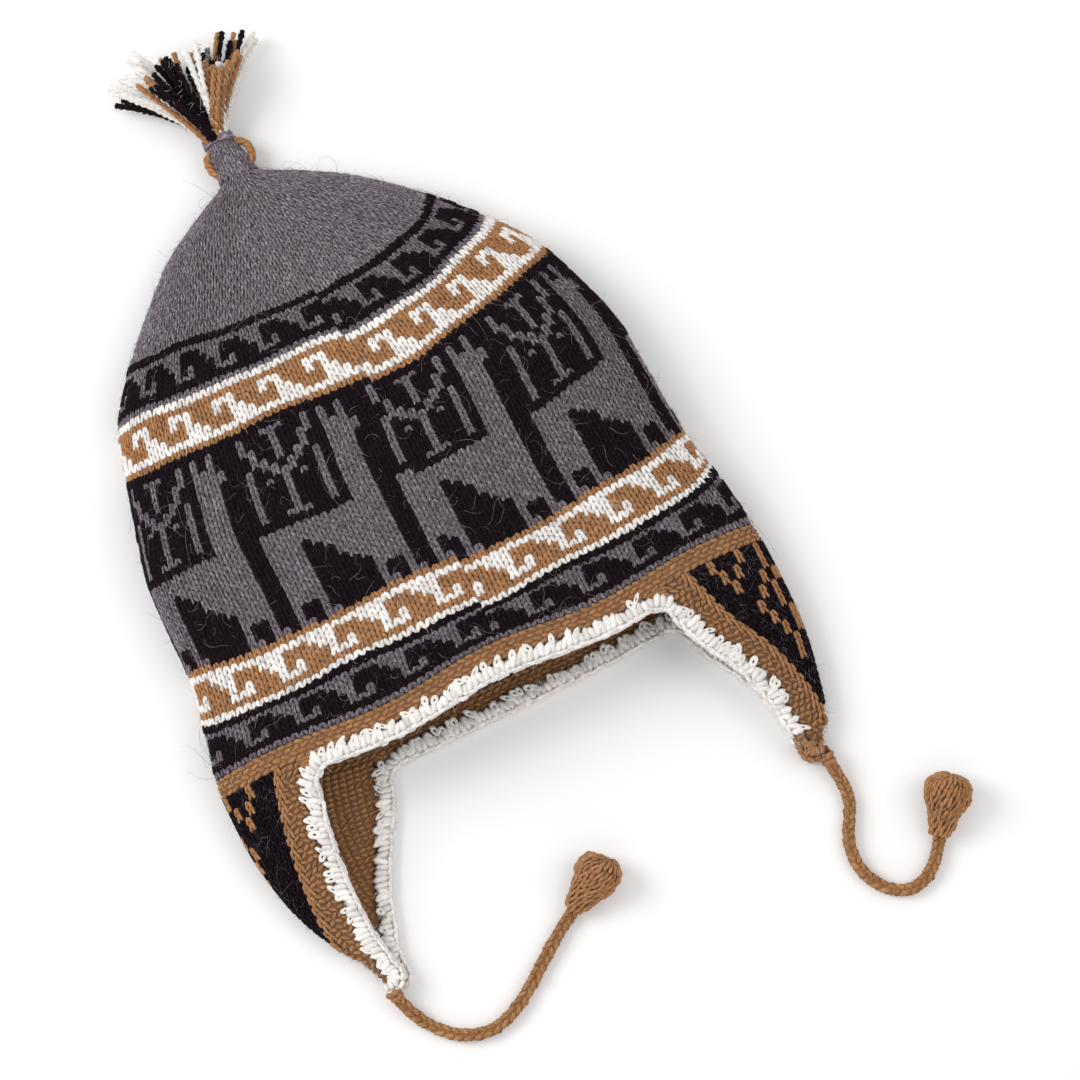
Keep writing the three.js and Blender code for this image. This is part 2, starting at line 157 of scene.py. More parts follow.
def section_path(along):
    left, right, top, fold = (float(smooth_column(SLEEVE, k, along)) for k in (1, 2, 3, 4))
    inset = WALL / 2
    centre, half = (right - left) / 2, (left + right) / 2
    turn = np.linspace(-math.pi / 2, 0, 25)
    over = np.linspace(0, math.pi, 241)
    arc = np.stack([centre + half - fold + (fold - inset) * np.cos(turn),
                    fold + (fold - inset) * np.sin(turn)], 1)
    dome = np.stack([centre + (half - inset) * np.cos(over),
                     fold + (top - fold - inset) * np.sin(over)], 1)
    back = np.stack([2 * centre - arc[::-1, 0], arc[::-1, 1]], 1)
    path = np.concatenate([[(centre, inset)], arc, dome[1:], back[1:], [(centre, inset)]])
    steps = reaches(path)
    return path, steps / steps[-1], steps[-1]


grid = np.empty((len(LEVELS), ROUND_STEPS + 1, 2))
girth = np.empty(len(LEVELS))
for i, level in enumerate(LEVELS):
    path, share, girth[i] = section_path(level)
    even = np.linspace(0, 1, ROUND_STEPS + 1)
    grid[i, :, 0] = np.interp(even, share, path[:, 0])
    grid[i, :, 1] = np.interp(even, share, path[:, 1])
# Where the side fold's arc ends, as a share of the way round
FOLD = float(section_path(0.0)[1][25])


def sleeve(around, along):
    f = np.clip(along - LEVELS[0], 0, len(LEVELS) - 1.001)
    g = np.mod(around, 1.0) * ROUND_STEPS
    i, k = f.astype(int), np.minimum(g.astype(int), ROUND_STEPS - 1)
    s, t = (f - i)[:, None], (g - k)[:, None]
    low = grid[i, k] * (1 - t) + grid[i, k + 1] * t
    high = grid[i + 1, k] * (1 - t) + grid[i + 1, k + 1] * t
    flat = low * (1 - s) + high * s
    return np.stack([flat[:, 0], RIM_Y + along, flat[:, 1]], 1)


def unit(vectors):
    return vectors / np.maximum(np.linalg.norm(vectors, axis=-1, keepdims=True), 1e-9)


def sleeve_normal(around, along):
    across = sleeve(around + 0.003, along) - sleeve(around - 0.003, along)
    upward = sleeve(around, along + 1.5) - sleeve(around, along - 1.5)
    return unit(np.cross(upward, across))


def on_cloth(around, along, out):
    return sleeve(around, along) + sleeve_normal(around, along) * np.reshape(out, (-1, 1))


def rim_edge(around):
    around = np.mod(around, 1.0)
    across = np.clip((around - FOLD) / (1 - 2 * FOLD), 0, 1)
    front = np.sin(np.pi * across) * (2.2 * np.sin(2 * np.pi * 2.5 * across) - 4)
    away = np.clip(np.where(around < 0.5, around, 1 - around) / FOLD, 0, 1)
    back = -12 * (1 - away ** 4) ** 2
    return np.where((around > FOLD) & (around < 1 - FOLD), front, back)


# Rows of knitting: how far up the sleeve each row lies at the seam in front, how much it rises
# to the side folds and how steeply, and how far it hangs down at the back, in mm
ROW_LINES = np.array([
    (8, 12.6, 8, 4, 15, 3.2, -10), (16, 33.8, 9.4, 3, 15, 2.6, -9), (45, 115.6, 11, 1.3, 28, 1.7, -6),
    (53, 139, 11, 1.3, 29, 1.6, -5), (61, 160.5, 12, 1.3, 27, 1.5, -4), (86, 237, 0, 1.3, 0, 1.5, 0),
])
ROWS = 86
CHART_ROWS = 61
# The first rows ease from the rim's edge into the row lines, the last ones into the tip
FIRST_ROWS = 8
LAST_ROWS = 10
STITCHES = 128
SEAM = 0.492


def row_level(row, around):
    around = np.mod(around, 1.0)
    row = np.asarray(row, float)
    high = np.clip(row, FIRST_ROWS, ROWS)
    base, left, left_power, right, right_power, back = (
        np.interp(high, ROW_LINES[:, 0], ROW_LINES[:, k]) for k in range(1, 7))
    to_right = SEAM - around
    q = np.where(to_right > 0, to_right / (SEAM - FOLD), -to_right / (1 - FOLD - SEAM))
    inner = np.clip(q, 0, 1)
    front = base + np.where(to_right > 0, right * inner ** right_power, left * inner ** left_power)
    from_right = np.where(around < 0.5, FOLD - around, FOLD + 1 - around) / (2 * FOLD)
    ease = np.clip(from_right, 0, 1)
    ease = ease * ease * (3 - 2 * ease)
    away = np.clip(np.where(around < 0.5, around, 1 - around) / FOLD, 0, 1)
    behind = base + right + (left - right) * ease + back * (1 - away ** 4) ** 2
    line = np.where(q <= 1, front, behind)
    uneven = 0.7 * np.sin(10 * np.pi * around + 0.2 * row) + 0.4 * np.sin(22 * np.pi * around - 0.3 * row)
    jog = np.mod(to_right, 1.0) * 2.8 + uneven
    jog = jog * np.clip(row / FIRST_ROWS, 0, 1) * np.clip((ROWS - row) / LAST_ROWS, 0, 1)
    low = rim_edge(around)
    level = np.where(row < FIRST_ROWS, low + (line - low) * row / FIRST_ROWS, line)
    return np.minimum(level + jog, TIP - 0.5)


# Charts of the bands, crown side first: # is a stitch of the figure, . of the ground
HOOK_DOWN = ["......", "######", "###...", ".##...", "..#.#.", "..###.", "......", "######"]
HOOK_UP = ["######", "......", "###...", "#.#...", "..##..", "..###.", "######", "......"]
LLAMA = (
    ["................", ".#..###..#.#.#..", ".#...#...#.#.#..", ".##..#..##.###..",
     "..#..#..#..####.", "..##.#.##..####.", ".#.##.##.#.###..", ".#..###..#.###..",
     ".#.#.#.#.#.###.."] + 4 * [".#...#...#.###.."]
    + [".#..###..#.###..", "...........###.."] + 3 * ["##############.."]
    + ["####.#########..", "####..########.."] + 2 * ["####...#######.."]
    + ["####....######..", "####.....#####.."] + 2 * ["####......####.."]
    + 2 * ["#..#......#..#.."] + ["##.##.....##.##."]
)
GREY, BLACK, CAMEL, WHITE = range(4)
# Each band's first row, chart, shift in stitches, and the yarns of its figure and ground
BANDS = [(53, HOOK_DOWN, -2, GREY, BLACK), (45, HOOK_UP, -2, WHITE, CAMEL), (16, LLAMA, 2, GREY, BLACK),
         (8, HOOK_DOWN, -2, WHITE, CAMEL), (0, HOOK_DOWN, -2, GREY, BLACK)]


def yarn_at(row, stitch):
    for start, chart, shift, figure, ground in BANDS:
        if start <= row < start + len(chart):
            line = chart[start + len(chart) - 1 - row]
            return figure if line[(stitch + shift) % len(line)] == "#" else ground
    return GREY


YARN_NAMES = ["grey_yarn", "black_yarn", "camel_yarn", "white_yarn"]
# Alpaca yarn, two plies spun and brushed: matt, soft at the edges, with lighter and darker fibres.
# The colours are the yarn's own, then its darkest and its palest fibres.
YARN_COLOURS = [
    ("#6f656d", "#3b333a", "#b5aab3"), ("#12070d", "#080306", "#2b1e27"),
    ("#aa784b", "#785032", "#cb9d70"), ("#f1ece7", "#d3cbc6", "#ffffff"),
]


def alpaca(name, colours, heather, bump, sheen):
    material, tree, shader = new_material(name, {"Roughness": 0.92, "Specular IOR Level": 0.15,
                                                 "Sheen Weight": sheen, "Sheen Roughness": 0.5})
    strand = node(tree, "ShaderNodeAttribute", {"attribute_name": "strand"})
    fibre = node(tree, "ShaderNodeTexNoise", {"Scale": 1.0, "Detail": 3.0, "Roughness": 0.65},
                 {"Vector": strand.outputs["Vector"]})
    mixed = node(tree, "ShaderNodeValToRGB", {}, {"Fac": fibre.outputs["Fac"]})
    ramp = mixed.color_ramp
    ramp.elements[0].position = 0.5 - heather
    ramp.elements[0].color = linear(colours[1])
    ramp.elements[1].position = 0.5 + heather
    ramp.elements[1].color = linear(colours[2])
    ramp.elements.new(0.5).color = linear(colours[0])
    tint = node(tree, "ShaderNodeAttribute", {"attribute_name": "tint"})
    shade = node(tree, "ShaderNodeHueSaturation", {}, {"Color": mixed.outputs["Color"]})
    tree.links.new(tint.outputs["Fac"], shade.inputs["Value"])
    tree.links.new(shade.outputs["Color"], shader.inputs["Base Color"])
    relief = node(tree, "ShaderNodeBump", {"Strength": bump, "Distance": 0.0004},
                  {"Height": fibre.outputs["Fac"]})
    tree.links.new(relief.outputs["Normal"], shader.inputs["Normal"])
    return material


yarns = [
    alpaca("heathered grey alpaca yarn", YARN_COLOURS[0], 0.16, 0.6, 0.2),
    alpaca("black alpaca yarn", YARN_COLOURS[1], 0.22, 0.5, 0.0),
    alpaca("camel alpaca yarn", YARN_COLOURS[2], 0.22, 0.6, 0.15),
    alpaca("natural white alpaca yarn", YARN_COLOURS[3], 0.25, 0.5, 0.1),
]

# One leg of a stitch: a small closed leaf of yarn, along y, of unit half length and half width
bm = bmesh.new()
leaf_uv = bm.loops.layers.uv.new("leaf")
bmesh.ops.create_uvsphere(bm, u_segments=4, v_segments=3, radius=1.0, calc_uvs=True)
bmesh.ops.rotate(bm, verts=bm.verts, cent=(0, 0, 0),
                 matrix=Matrix.Rotation(math.pi / 2, 3, "X"))
bmesh.ops.triangulate(bm, faces=bm.faces)
bm.verts.index_update()
leaf_points = np.array([v.co for v in bm.verts])
leaf_faces = np.array([[v.index for v in f.verts] for f in bm.faces])
leaf_map = np.array([[loop[leaf_uv].uv for loop in f.loops] for f in bm.faces]).reshape(-1, 2)
bm.free()
chance = np.random.default_rng(7)


def cells(count):
    """A square of cells, one for each of count shapes: the corner of each, and how many to a side."""
    side = math.ceil(math.sqrt(count))
    return np.stack([np.arange(count) % side, np.arange(count) // side], 1)[:, None], side


def gathered(parts):
    return [np.concatenate(part) for part in zip(*parts)]


def joined(name, points, strands, tints, faces, maps, yarn):
    """One mesh of many like shapes: points is shapes x corners x 3, in mm."""
    count, corners = points.shape[:2]
    points[:, :, 2] = np.maximum(points[:, :, 2], 0.02)
    mesh = bpy.data.meshes.new(name)
    corner_of = (faces[None] + corners * np.arange(count)[:, None, None]).reshape(-1)
    mesh.vertices.add(count * corners)
    mesh.vertices.foreach_set("co", (points.reshape(-1) * MM).astype(np.float32))
    mesh.loops.add(len(corner_of))
    mesh.loops.foreach_set("vertex_index", corner_of.astype(np.int32))
    mesh.polygons.add(len(corner_of) // 3)
    mesh.polygons.foreach_set("loop_start", np.arange(0, len(corner_of), 3, dtype=np.int32))
    mesh.update(calc_edges=True)
    mesh.polygons.foreach_set("use_smooth", np.ones(len(corner_of) // 3, bool))
    strand = mesh.attributes.new("strand", "FLOAT_VECTOR", "POINT")
    strand.data.foreach_set("vector", strands.reshape(-1).astype(np.float32))
    tint = mesh.attributes.new("tint", "FLOAT", "POINT")
    tint.data.foreach_set("value", np.repeat(tints, corners).astype(np.float32))
    cell, side = cells(count)
    layer = mesh.uv_layers.new(name="OFBake")
    where = (cell + 0.08 + 0.84 * maps[None]) / side
    layer.data.foreach_set("uv", where.reshape(-1).astype(np.float32))
    mesh.validate()
    mesh.materials.append(yarns[yarn])
    thing = placed(name, mesh)
    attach(thing, "root")
    return thing


def leaves(name, middle, length, width, out, thick, yarn, bow=0.0, bright=1.0):
    """Leaves of yarn at middle: length and width are half vectors, out the unit normal, in mm."""
    count = len(middle)
    along, side, up = (leaf_points[:, k] for k in (1, 0, 2))
    thick = np.broadcast_to(thick, (count,))
    arch = bow * (1 - along ** 2)
    points = (middle[:, None] + length[:, None] * along[None, :, None]
              + width[:, None] * side[None, :, None]
              + out[:, None] * (thick[:, None] * up[None] + arch[None])[:, :, None])
    reach = np.linalg.norm(length, axis=1)
    span = np.linalg.norm(width, axis=1)
    offset = chance.random(count) * 200
    # Fibres run along the leaf with a slant, finer across it than along it
    strands = np.stack([reach[:, None] * along * 0.45,
                        span[:, None] * side * 2.6 + reach[:, None] * along * 0.5,
                        thick[:, None] * up[None] * 2.6 + offset[:, None]], 2)
    tints = bright * (1 + chance.normal(0, 0.08, count))
    return joined(name, points, strands, tints, leaf_faces, leaf_map, yarn)


# How unevenly the legs of a stitch lean, sit, widen and lengthen
LEG_SPREAD = (0.03, 0.04, 0.06, 0.05)


def stitch_legs(place, normal, side, up, size=1.0):
    """Two legs for each stitch, which meet at its top and part below."""
    parts = []
    for turn in (-1, 1):
        lean, high, wider, longer = (chance.normal(0, spread, (len(place), 1)) for spread in LEG_SPREAD)
        length = up * (0.5 + 0.32 * size) - side * (turn * (0.145 + lean))
        parts.append((place + side * (turn * 0.25) + up * (0.02 + high), length * (1 + longer),
                      side * 0.27 * size * (1 + wider) + up * (turn * 0.05), normal))
    return gathered(parts)


rows, arounds, halves, colours = [], [], [], []
for row in range(ROWS - 1):
    count = STITCHES
    if row >= CHART_ROWS:
        around_row = float(np.interp(row_level(row, np.array([0.35]))[0], LEVELS, girth))
        count = max(12, min(STITCHES, round(around_row / 2.75)))
    for stitch in range(count):
        rows.append(row + 0.5)
        arounds.append(SEAM - (stitch + 0.5) / count)
        halves.append(0.5 / count)
        colours.append(yarn_at(row, stitch))
rows, arounds, halves, colours = map(np.array, (rows, arounds, halves, colours))
STITCH_OUT = 0.7
place = on_cloth(arounds, row_level(rows, arounds), STITCH_OUT)
up = (on_cloth(arounds, row_level(rows + 0.5, arounds), STITCH_OUT)
      - on_cloth(arounds, row_level(rows - 0.5, arounds), STITCH_OUT))
side = (on_cloth(arounds - halves, row_level(rows, arounds), STITCH_OUT)
        - on_cloth(arounds + halves, row_level(rows, arounds), STITCH_OUT))
normal = sleeve_normal(arounds, row_level(rows, arounds))
astray = chance.normal(0, 0.12, (3, len(place), 1))
place = place + normal * astray[0] + unit(side) * astray[1] + unit(up) * astray[2]
CROWN_PIECES = [
    ("crown_top_grey", GREY, CHART_ROWS, ROWS, 1.0), ("crown_llama_grey", GREY, 0, CHART_ROWS, 0.86),
    ("crown_black", BLACK, 0, ROWS, 1.0), ("crown_camel", CAMEL, 0, ROWS, 1.0),
    ("crown_white", WHITE, 0, ROWS, 1.0),
]
# The black yarn is brushed fuller than the others, and closes in on the grey figures
FULLNESS = [0.92, 1.38, 1.0, 1.04]
for name, yarn, low, high, bright in CROWN_PIECES:
    these = (colours == yarn) & (rows >= low) & (rows < high)
    legs = stitch_legs(place[these], normal[these], side[these], up[these], FULLNESS[yarn])
    leaves(name, *legs, 0.85 * FULLNESS[yarn], yarn, bow=0.45 * FULLNESS[yarn], bright=bright)

# Cloth behind the stitches: the stranded yarns that cross inside, seen only through the mouth.
# It is a closed bag, from the tip inside down to the rim and up the outside again.
WALL_OUT = 0.45
WALL_IN = -1.6


def shell(name, across, down, spot, paint_at, solid=None):
    """A closed cloth of across by down cells, placed by spot(u, v) and coloured by paint_at(u, v)."""
    bm = bmesh.new()
    chart = bm.loops.layers.uv.new("chart")
    bmesh.ops.create_grid(bm, x_segments=across, y_segments=down, size=1.0, calc_uvs=True)
    flat = np.array([v.co for v in bm.verts])
    points = spot(flat[:, 0] / 2 + 0.5, flat[:, 1] / 2 + 0.5) * MM
    for vert, point in zip(bm.verts, points):
        vert.co = point
    bmesh.ops.remove_doubles(bm, verts=bm.verts, dist=0.00002)
    bmesh.ops.recalc_face_normals(bm, faces=bm.faces)
    middle = np.array([np.mean([loop[chart].uv for loop in f.loops], axis=0) for f in bm.faces])
    mesh = bpy.data.meshes.new(name)
    bm.to_mesh(mesh)
    bm.free()
    mesh.polygons.foreach_set("use_smooth", np.ones(len(mesh.polygons), bool))
    # The cloth's colour is the yarn's own colour with painted shade, darker where the cloth lies under the
    # stitches
    dye_and_shade = mesh.attributes.new("dye_and_shade", "FLOAT_COLOR", "FACE")
    dye_and_shade.data.foreach_set("color", paint_at(middle[:, 0], middle[:, 1]).reshape(-1).astype(np.float32))
    mesh.materials.append(cloth)
    thing = placed(name, mesh)
    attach(thing, "root")
    if solid:
        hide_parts(solid)
    return thing


# Alpaca cloth seen from behind: purl bumps, a row of small nubs for each row of knitting
cloth, tree, shader = new_material("alpaca knit, wrong side", {"Roughness": 0.95, "Specular IOR Level": 0.2,
                                                               "Sheen Weight": 0.2})
# The cloth's colour attribute holds the yarn's own colour with painted shade in it
dye_and_shade = node(tree, "ShaderNodeAttribute", {"attribute_name": "dye_and_shade"})
spot = node(tree, "ShaderNodeTexCoord")
fluff = node(tree, "ShaderNodeTexNoise", {"Scale": 900.0, "Detail": 4.0}, {"Vector": spot.outputs["Object"]})
tone = node(tree, "ShaderNodeMapRange", {"From Min": 0.3, "From Max": 0.7, "To Min": 0.7, "To Max": 1.25},
            {"Value": fluff.outputs["Fac"]})
worn = node(tree, "ShaderNodeHueSaturation", {},
            {"Color": dye_and_shade.outputs["Color"], "Value": tone.outputs["Result"]})
tree.links.new(worn.outputs["Color"], shader.inputs["Base Color"])
rough = node(tree, "ShaderNodeBump", {"Strength": 0.8, "Distance": 0.0006}, {"Height": fluff.outputs["Fac"]})
tree.links.new(rough.outputs["Normal"], shader.inputs["Normal"])
DYES = np.array([linear(colour[0]) for colour in YARN_COLOURS])
# The cloth lies in the shade of the stitches over it
SHADED = np.array((0.62, 0.62, 0.62, 1))


def crown_spot(u, v):
    inside = v < 0.5
    row = np.abs(v - 0.5) * 2 * ROWS
    around = SEAM - u
    level = np.where(inside, np.minimum(row_level(row, around), TIP - 4), row_level(row, around))
    points = on_cloth(around, level, np.where(inside, WALL_IN, WALL_OUT))
    end = row > ROWS - 0.1
    for part in (end & inside, end & ~inside):
        points[part] = points[part].mean(axis=0)
    return points


# Each stitch's yarn, darkened by SHADED as painted shade from the stitches over the cloth
def crown_dye_and_shade(u, v):
    row = np.clip(np.abs(v - 0.5) * 2 * ROWS, 0, ROWS - 1).astype(int)
    stitch = np.clip(u * STITCHES, 0, STITCHES - 1).astype(int)
    return np.array([DYES[yarn_at(r, s)] * SHADED for r, s in zip(row, stitch)])


shell("crown_cloth", STITCHES, 2 * ROWS, crown_spot, crown_dye_and_shade, "crown")

# Wrong side of the knitting near the mouth: each stitch shows a short bar of yarn across its row.
# Only the first rows are seen from outside, so the bars stop there.
PURL_ROWS = 14
PURL_OUT = -1.35
bars = rows < PURL_ROWS
place = on_cloth(arounds[bars], row_level(rows[bars], arounds[bars]), PURL_OUT)
for yarn in (GREY, BLACK, CAMEL, WHITE):
    these = colours[bars] == yarn
    count = int(these.sum())
    tilt = up[bars][these] * chance.normal(0, 0.16, count)[:, None]
    leaves("inside_" + YARN_NAMES[yarn], place[these], side[bars][these] * 0.56 + tilt,
           up[bars][these] * 0.42, -normal[bars][these], 0.75, yarn, bow=0.3)

# Rim: four ridges of camel garter stitch, worked on down from the crown's last row.
# It is a closed band 8 mm wide, with the bars of yarn standing out on both of its faces.
BAND = 8.0
SEAT = 0.3
RIDGES = 4
RIM_BARS = 132


def rim_spot(u, v):
    turn = 2 * np.pi * v
    square = np.sign(np.cos(turn)) * np.abs(np.cos(turn)) ** 0.5
    drop = SEAT + BAND * (0.5 - 0.5 * np.sign(np.sin(turn)) * np.abs(np.sin(turn)) ** 0.7)
    return on_cloth(u, rim_edge(u) - drop, square)


# One yarn all over, darkened by SHADED as painted shade
def plain_dye_and_shade(yarn):
    return lambda u, v: np.tile(DYES[yarn] * SHADED, (len(u), 1))


shell("rim_cloth", 160, 12, rim_spot, plain_dye_and_shade(CAMEL), "rim_band")
ridge, bar = np.indices((RIDGES, RIM_BARS)).reshape(2, -1)
around = (bar + 0.5 * (ridge % 2) + chance.normal(0, 0.06, len(bar))) / RIM_BARS
drop = SEAT + BAND * (ridge + 0.5) / RIDGES
for face, out in (("outside", 0.85), ("inside", -0.85)):
    level = rim_edge(around) - drop
    spots = on_cloth(around, level, out)
    across = on_cloth(around - 0.5 / RIM_BARS, rim_edge(around - 0.5 / RIM_BARS) - drop, out) - spots
    raised = sleeve_normal(around, level) * np.sign(out)
    tall = np.cross(raised, unit(across))
    tilt = tall * (np.where(ridge % 2, 0.5, -0.5) + chance.normal(0, 0.22, len(bar)))[:, None]
    leaves("rim_bars_" + face, spots, across * 1.15 + tilt, tall * 1.15, raised, 0.85, CAMEL,
           bow=0.25, bright=0.9)

# Ear flaps: knitted on down from the rim, each folded round the side of the lying hat.
# A black wedge with camel figures tapers down inside a camel border; the inside shows purl bars.
FLAPS = {
    "left": np.array([(-105.5, 94.2, 92), (-96, 97, 93), (-84, 99, 91), (-68, 99.5, 86.5), (-50, 98.5, 79),
                      (-33, 96, 70), (-9, 90, 61)]),
    "right": np.array([(-96, 106, 106), (-84, 105, 105.5), (-68, 102.5, 103.5), (-50, 96, 98), (-33, 86, 89),
                       (-9, 77, 80)]),
}
FLAP_TIP = {"left": -105.5, "right": -96.0}
FLAP_TOP = -BAND - 2 * SEAT
FLAP_BORDER = 12.0
# Half of the wedge's figure, from the middle outwards, two rows of stitches to a line
WEDGE = [".#..#...#.", ".#...#.#..", "#.#...#...", ".#.#......", ".#..#.....", "#..#......", "#.#.......",
         ".#........", ".#........"]


def flap_edges(which):
    table = FLAPS[which]
    found = []
    for level in np.linspace(FLAP_TOP, FLAP_TIP[which], 80):
        path, share, length = section_path(level)
        pair = []
        for column in (1, 2):
            x = float(smooth_column(table, column, level))
            front = path[:, 1] > float(smooth_column(SLEEVE, 4, level)) - 1e-6
            part = front if column == 1 else ~front
            half = share > 0.5 if which == "left" else share <= 0.5
            xs, at = np.abs(path[part & half][:, 0]), share[part & half]
            order = np.argsort(xs)
            pair.append(float(np.interp(x, xs[order], at[order])))
        found.append((level, *pair, length))
    return np.array(found)[::-1]


flap_table = {which: flap_edges(which) for which in FLAPS}


def flap_span(which, down):
    """The level that lies down the flap, where its edges are round the sleeve, and the girth there."""
    level = FLAP_TOP + (FLAP_TIP[which] - FLAP_TOP) * down
    table = flap_table[which]
    return level, *(np.interp(level, table[:, 0], table[:, k]) for k in (1, 2, 3))


def flap_at(which, share, down, out):
    level, front, back, length = flap_span(which, down)
    around = front + (back - front) * share
    return on_cloth(around, level + rim_edge(around) * (1 - down), out)


def flap_width(which, down):
    level, front, back, length = flap_span(which, down)
    return np.abs(back - front) * length


def flap_frame(which, share, down, out):
    here = flap_at(which, share, down, out)
    across = unit(flap_at(which, share + 0.02, down, out) - flap_at(which, share - 0.02, down, out))
    upward = unit(flap_at(which, share, down - 0.02, out) - flap_at(which, share, down + 0.02, out))
    raised = unit(np.cross(across, upward))
    turn = 1 if which == "right" else -1
    return here, across, upward, raised * turn


def flap_shell_spot(which):
    def spot(u, v):
        inside = v < 0.5
        down = np.clip(1 - np.abs(v - 0.5) * 2, 0, 1)
        edge = (u < 1e-5) | (u > 1 - 1e-5) | (v < 1e-5) | (v > 1 - 1e-5)
        return flap_at(which, u, 1.03 * down - 0.03, np.where(edge, 0.0, np.where(inside, -1.4, 0.4)))
    return spot


# The black wedge keeps its own colour; the camel is darkened by SHADED as painted shade
def flap_shell_dye_and_shade(which):
    def dye_and_shade_at(u, v):
        down = np.clip(1 - np.abs(v - 0.5) * 2, 0, 1)
        off = np.abs(u - 0.5) * flap_width(which, down)
        wedge = (off < flap_width(which, down) / 2 - FLAP_BORDER) & (v > 0.5)
        return np.where(wedge[:, None], DYES[BLACK], DYES[CAMEL] * SHADED)
    return dye_and_shade_at


FLAP_STITCH = 3.5
FLAP_ROW = 2.9
BORDER_ROW = 2.5
BORDER_STITCHES = 4
PURL_STITCH = 3.2
for which in ("left", "right"):
    shell("flap_cloth_" + which, 40, 60, flap_shell_spot(which), flap_shell_dye_and_shade(which),
          "ear_flap_" + which)
    height = FLAP_TOP - FLAP_TIP[which]
    steps = int(height / FLAP_ROW)
    spots = []
    for k in range(steps):
        down = (k + 0.5) * FLAP_ROW / height
        half = float(flap_width(which, np.array([down]))[0]) / 2
        for c in range(-14, 14):
            off = (c + 0.5) * FLAP_STITCH
            if abs(off) < half - FLAP_BORDER - 0.3 * FLAP_STITCH:
                column = c if c >= 0 else -c - 1
                line = k // 2
                figure = line < len(WEDGE) and column < 10 and WEDGE[line][column] == "#"
                spots.append((0.5 + off / (2 * half), down, CAMEL if figure else BLACK))
    share, down, dyed = np.array(spots).T
    here, across, upward, raised = flap_frame(which, share, down, 0.7)
    for yarn in (BLACK, CAMEL):
        these = dyed == yarn
        legs = stitch_legs(here[these], raised[these], across[these] * FLAP_STITCH, upward[these] * FLAP_ROW)
        thick = 0.85 if yarn == BLACK else 0.95
        leaves("flap_" + which + "_" + YARN_NAMES[yarn], *legs, thick, yarn, bow=0.45)
    nubs, chain, purl = [], [], []
    for k in range(int(1.05 * height / BORDER_ROW)):
        down = (k + 0.5) * BORDER_ROW / height
        width = float(flap_width(which, np.array([down]))[0])
        for edge in (0, 1):
            for e in range(BORDER_STITCHES):
                off = (e + 0.5) * FLAP_BORDER / BORDER_STITCHES + (0.7 if k % 2 else -0.3)
                if off < width / 2:
                    kind = chain if e == BORDER_STITCHES - 1 else nubs
                    kind.append((off / width if edge == 0 else 1 - off / width, down))
        for c in range(int(width / PURL_STITCH)):
            purl.append(((c + 0.5 + 0.5 * (k % 2)) * PURL_STITCH / width, down))
    here, across, upward, raised = flap_frame(which, *np.array(nubs).T, 0.65)
    tilt = upward * (chance.choice([-0.75, 0.75], len(here)) + chance.normal(0, 0.3, len(here)))[:, None]
    leaves("flap_border_" + which, here, across * 1.85 + tilt, upward * 1.15, raised, 0.95, CAMEL,
           bow=0.3, bright=0.9)
    here, across, upward, raised = flap_frame(which, *np.array(chain).T, 0.9)
    legs = stitch_legs(here, raised, across * 3.4, upward * 2.9)
    leaves("flap_chain_" + which, *legs, 1.0, CAMEL, bow=0.45)
    share, down = np.array(purl).T
    here, across, upward, raised = flap_frame(which, np.minimum(share, 0.99), down, -1.2)
    tilt = upward * chance.normal(0, 0.5, len(share))[:, None]
    leaves("flap_inside_" + which, here, across * 1.9 + tilt, upward * 1.15, -raised, 0.8, CAMEL, bow=0.3)

# Corners: a few camel stitches that fill the turn between the rim and each flap,
# worked in as the flap's first rows are picked up from the rim.
CORNER = 0.016
for which in ("left", "right"):
    for column, layer in ((1, "front"), (2, "back")):
        start = flap_table[which][-1, column]
        away = np.sign(0.5 - start) if layer == "front" else np.sign(start - 0.5)
        spots = [(start + away * CORNER * (i + 0.3) / 5, -BAND - 0.6 - 1.5 * k) for i in range(5)
                 for k in range(4) if i + k < 5]
        around, drop = np.array(spots).T
        level = rim_edge(around) + drop
        raised = sleeve_normal(around, level)
        across = np.cross(raised, np.array((0, 1.0, 0)))
        tilt = np.array((0, 1.0, 0)) * chance.normal(0, 0.6, (len(around), 1))
        leaves("corner_" + which + "_" + layer, on_cloth(around, level, 0.0), across * 2.2 + tilt,
               np.cross(across, raised) * 1.4, raised, 1.6, CAMEL)

# Edging: white crochet worked once round the rim and both flaps, over the edge of the cloth.
# A chain runs along its outer edge, and its stitches reach in over the camel in uneven loops.
EDGING_RADIUS = 3.2
EDGE_OUT = 2.2 * SEAT + EDGING_RADIUS
EDGE_STITCH = 2.5
EDGE_LOOP = 3.4


def rim_run(start, end):
    around = np.linspace(start, end, 36)
    level = rim_edge(around) - BAND - SEAT
    return sleeve(around, level), np.tile((0.0, -1, 0), (36, 1)), sleeve_normal(around, level)


def flap_run(which, layer):
    down = np.linspace(0.08, 1, 14)
    share = np.full(14, 0.0 if layer == "front" else 1.0)
    here, across, upward, raised = flap_frame(which, share, down, 0.0)
    after = flap_at(which, share, np.minimum(down + 0.05, 1.0), 0.0)
    run = unit(after - flap_at(which, share, down - 0.05, 0.0))
    outward = unit(np.cross(run, raised))
    inward = np.sum(outward * across, axis=1, keepdims=True) * (-1 if layer == "front" else 1) < 0
    outward = np.where(inward, -outward, outward)
    angle = np.array((math.pi / 6, math.pi / 3, math.pi / 2))[:, None]
    turned = outward[-1] * np.cos(angle) + np.array((0, -1, 0)) * np.sin(angle)
    return (np.concatenate([here, here[-1:].repeat(3, 0)]), np.concatenate([outward, turned]),
            np.concatenate([raised, raised[-1:].repeat(3, 0)]))


def tip_run(which):
    here, across, upward, raised = flap_frame(which, np.array((0.25, 0.5, 0.75)), np.ones(3), 0.0)
    return here, np.tile((0.0, -1, 0), (3, 1)), raised


def turned_back(run):
    return [part[::-1] for part in run]


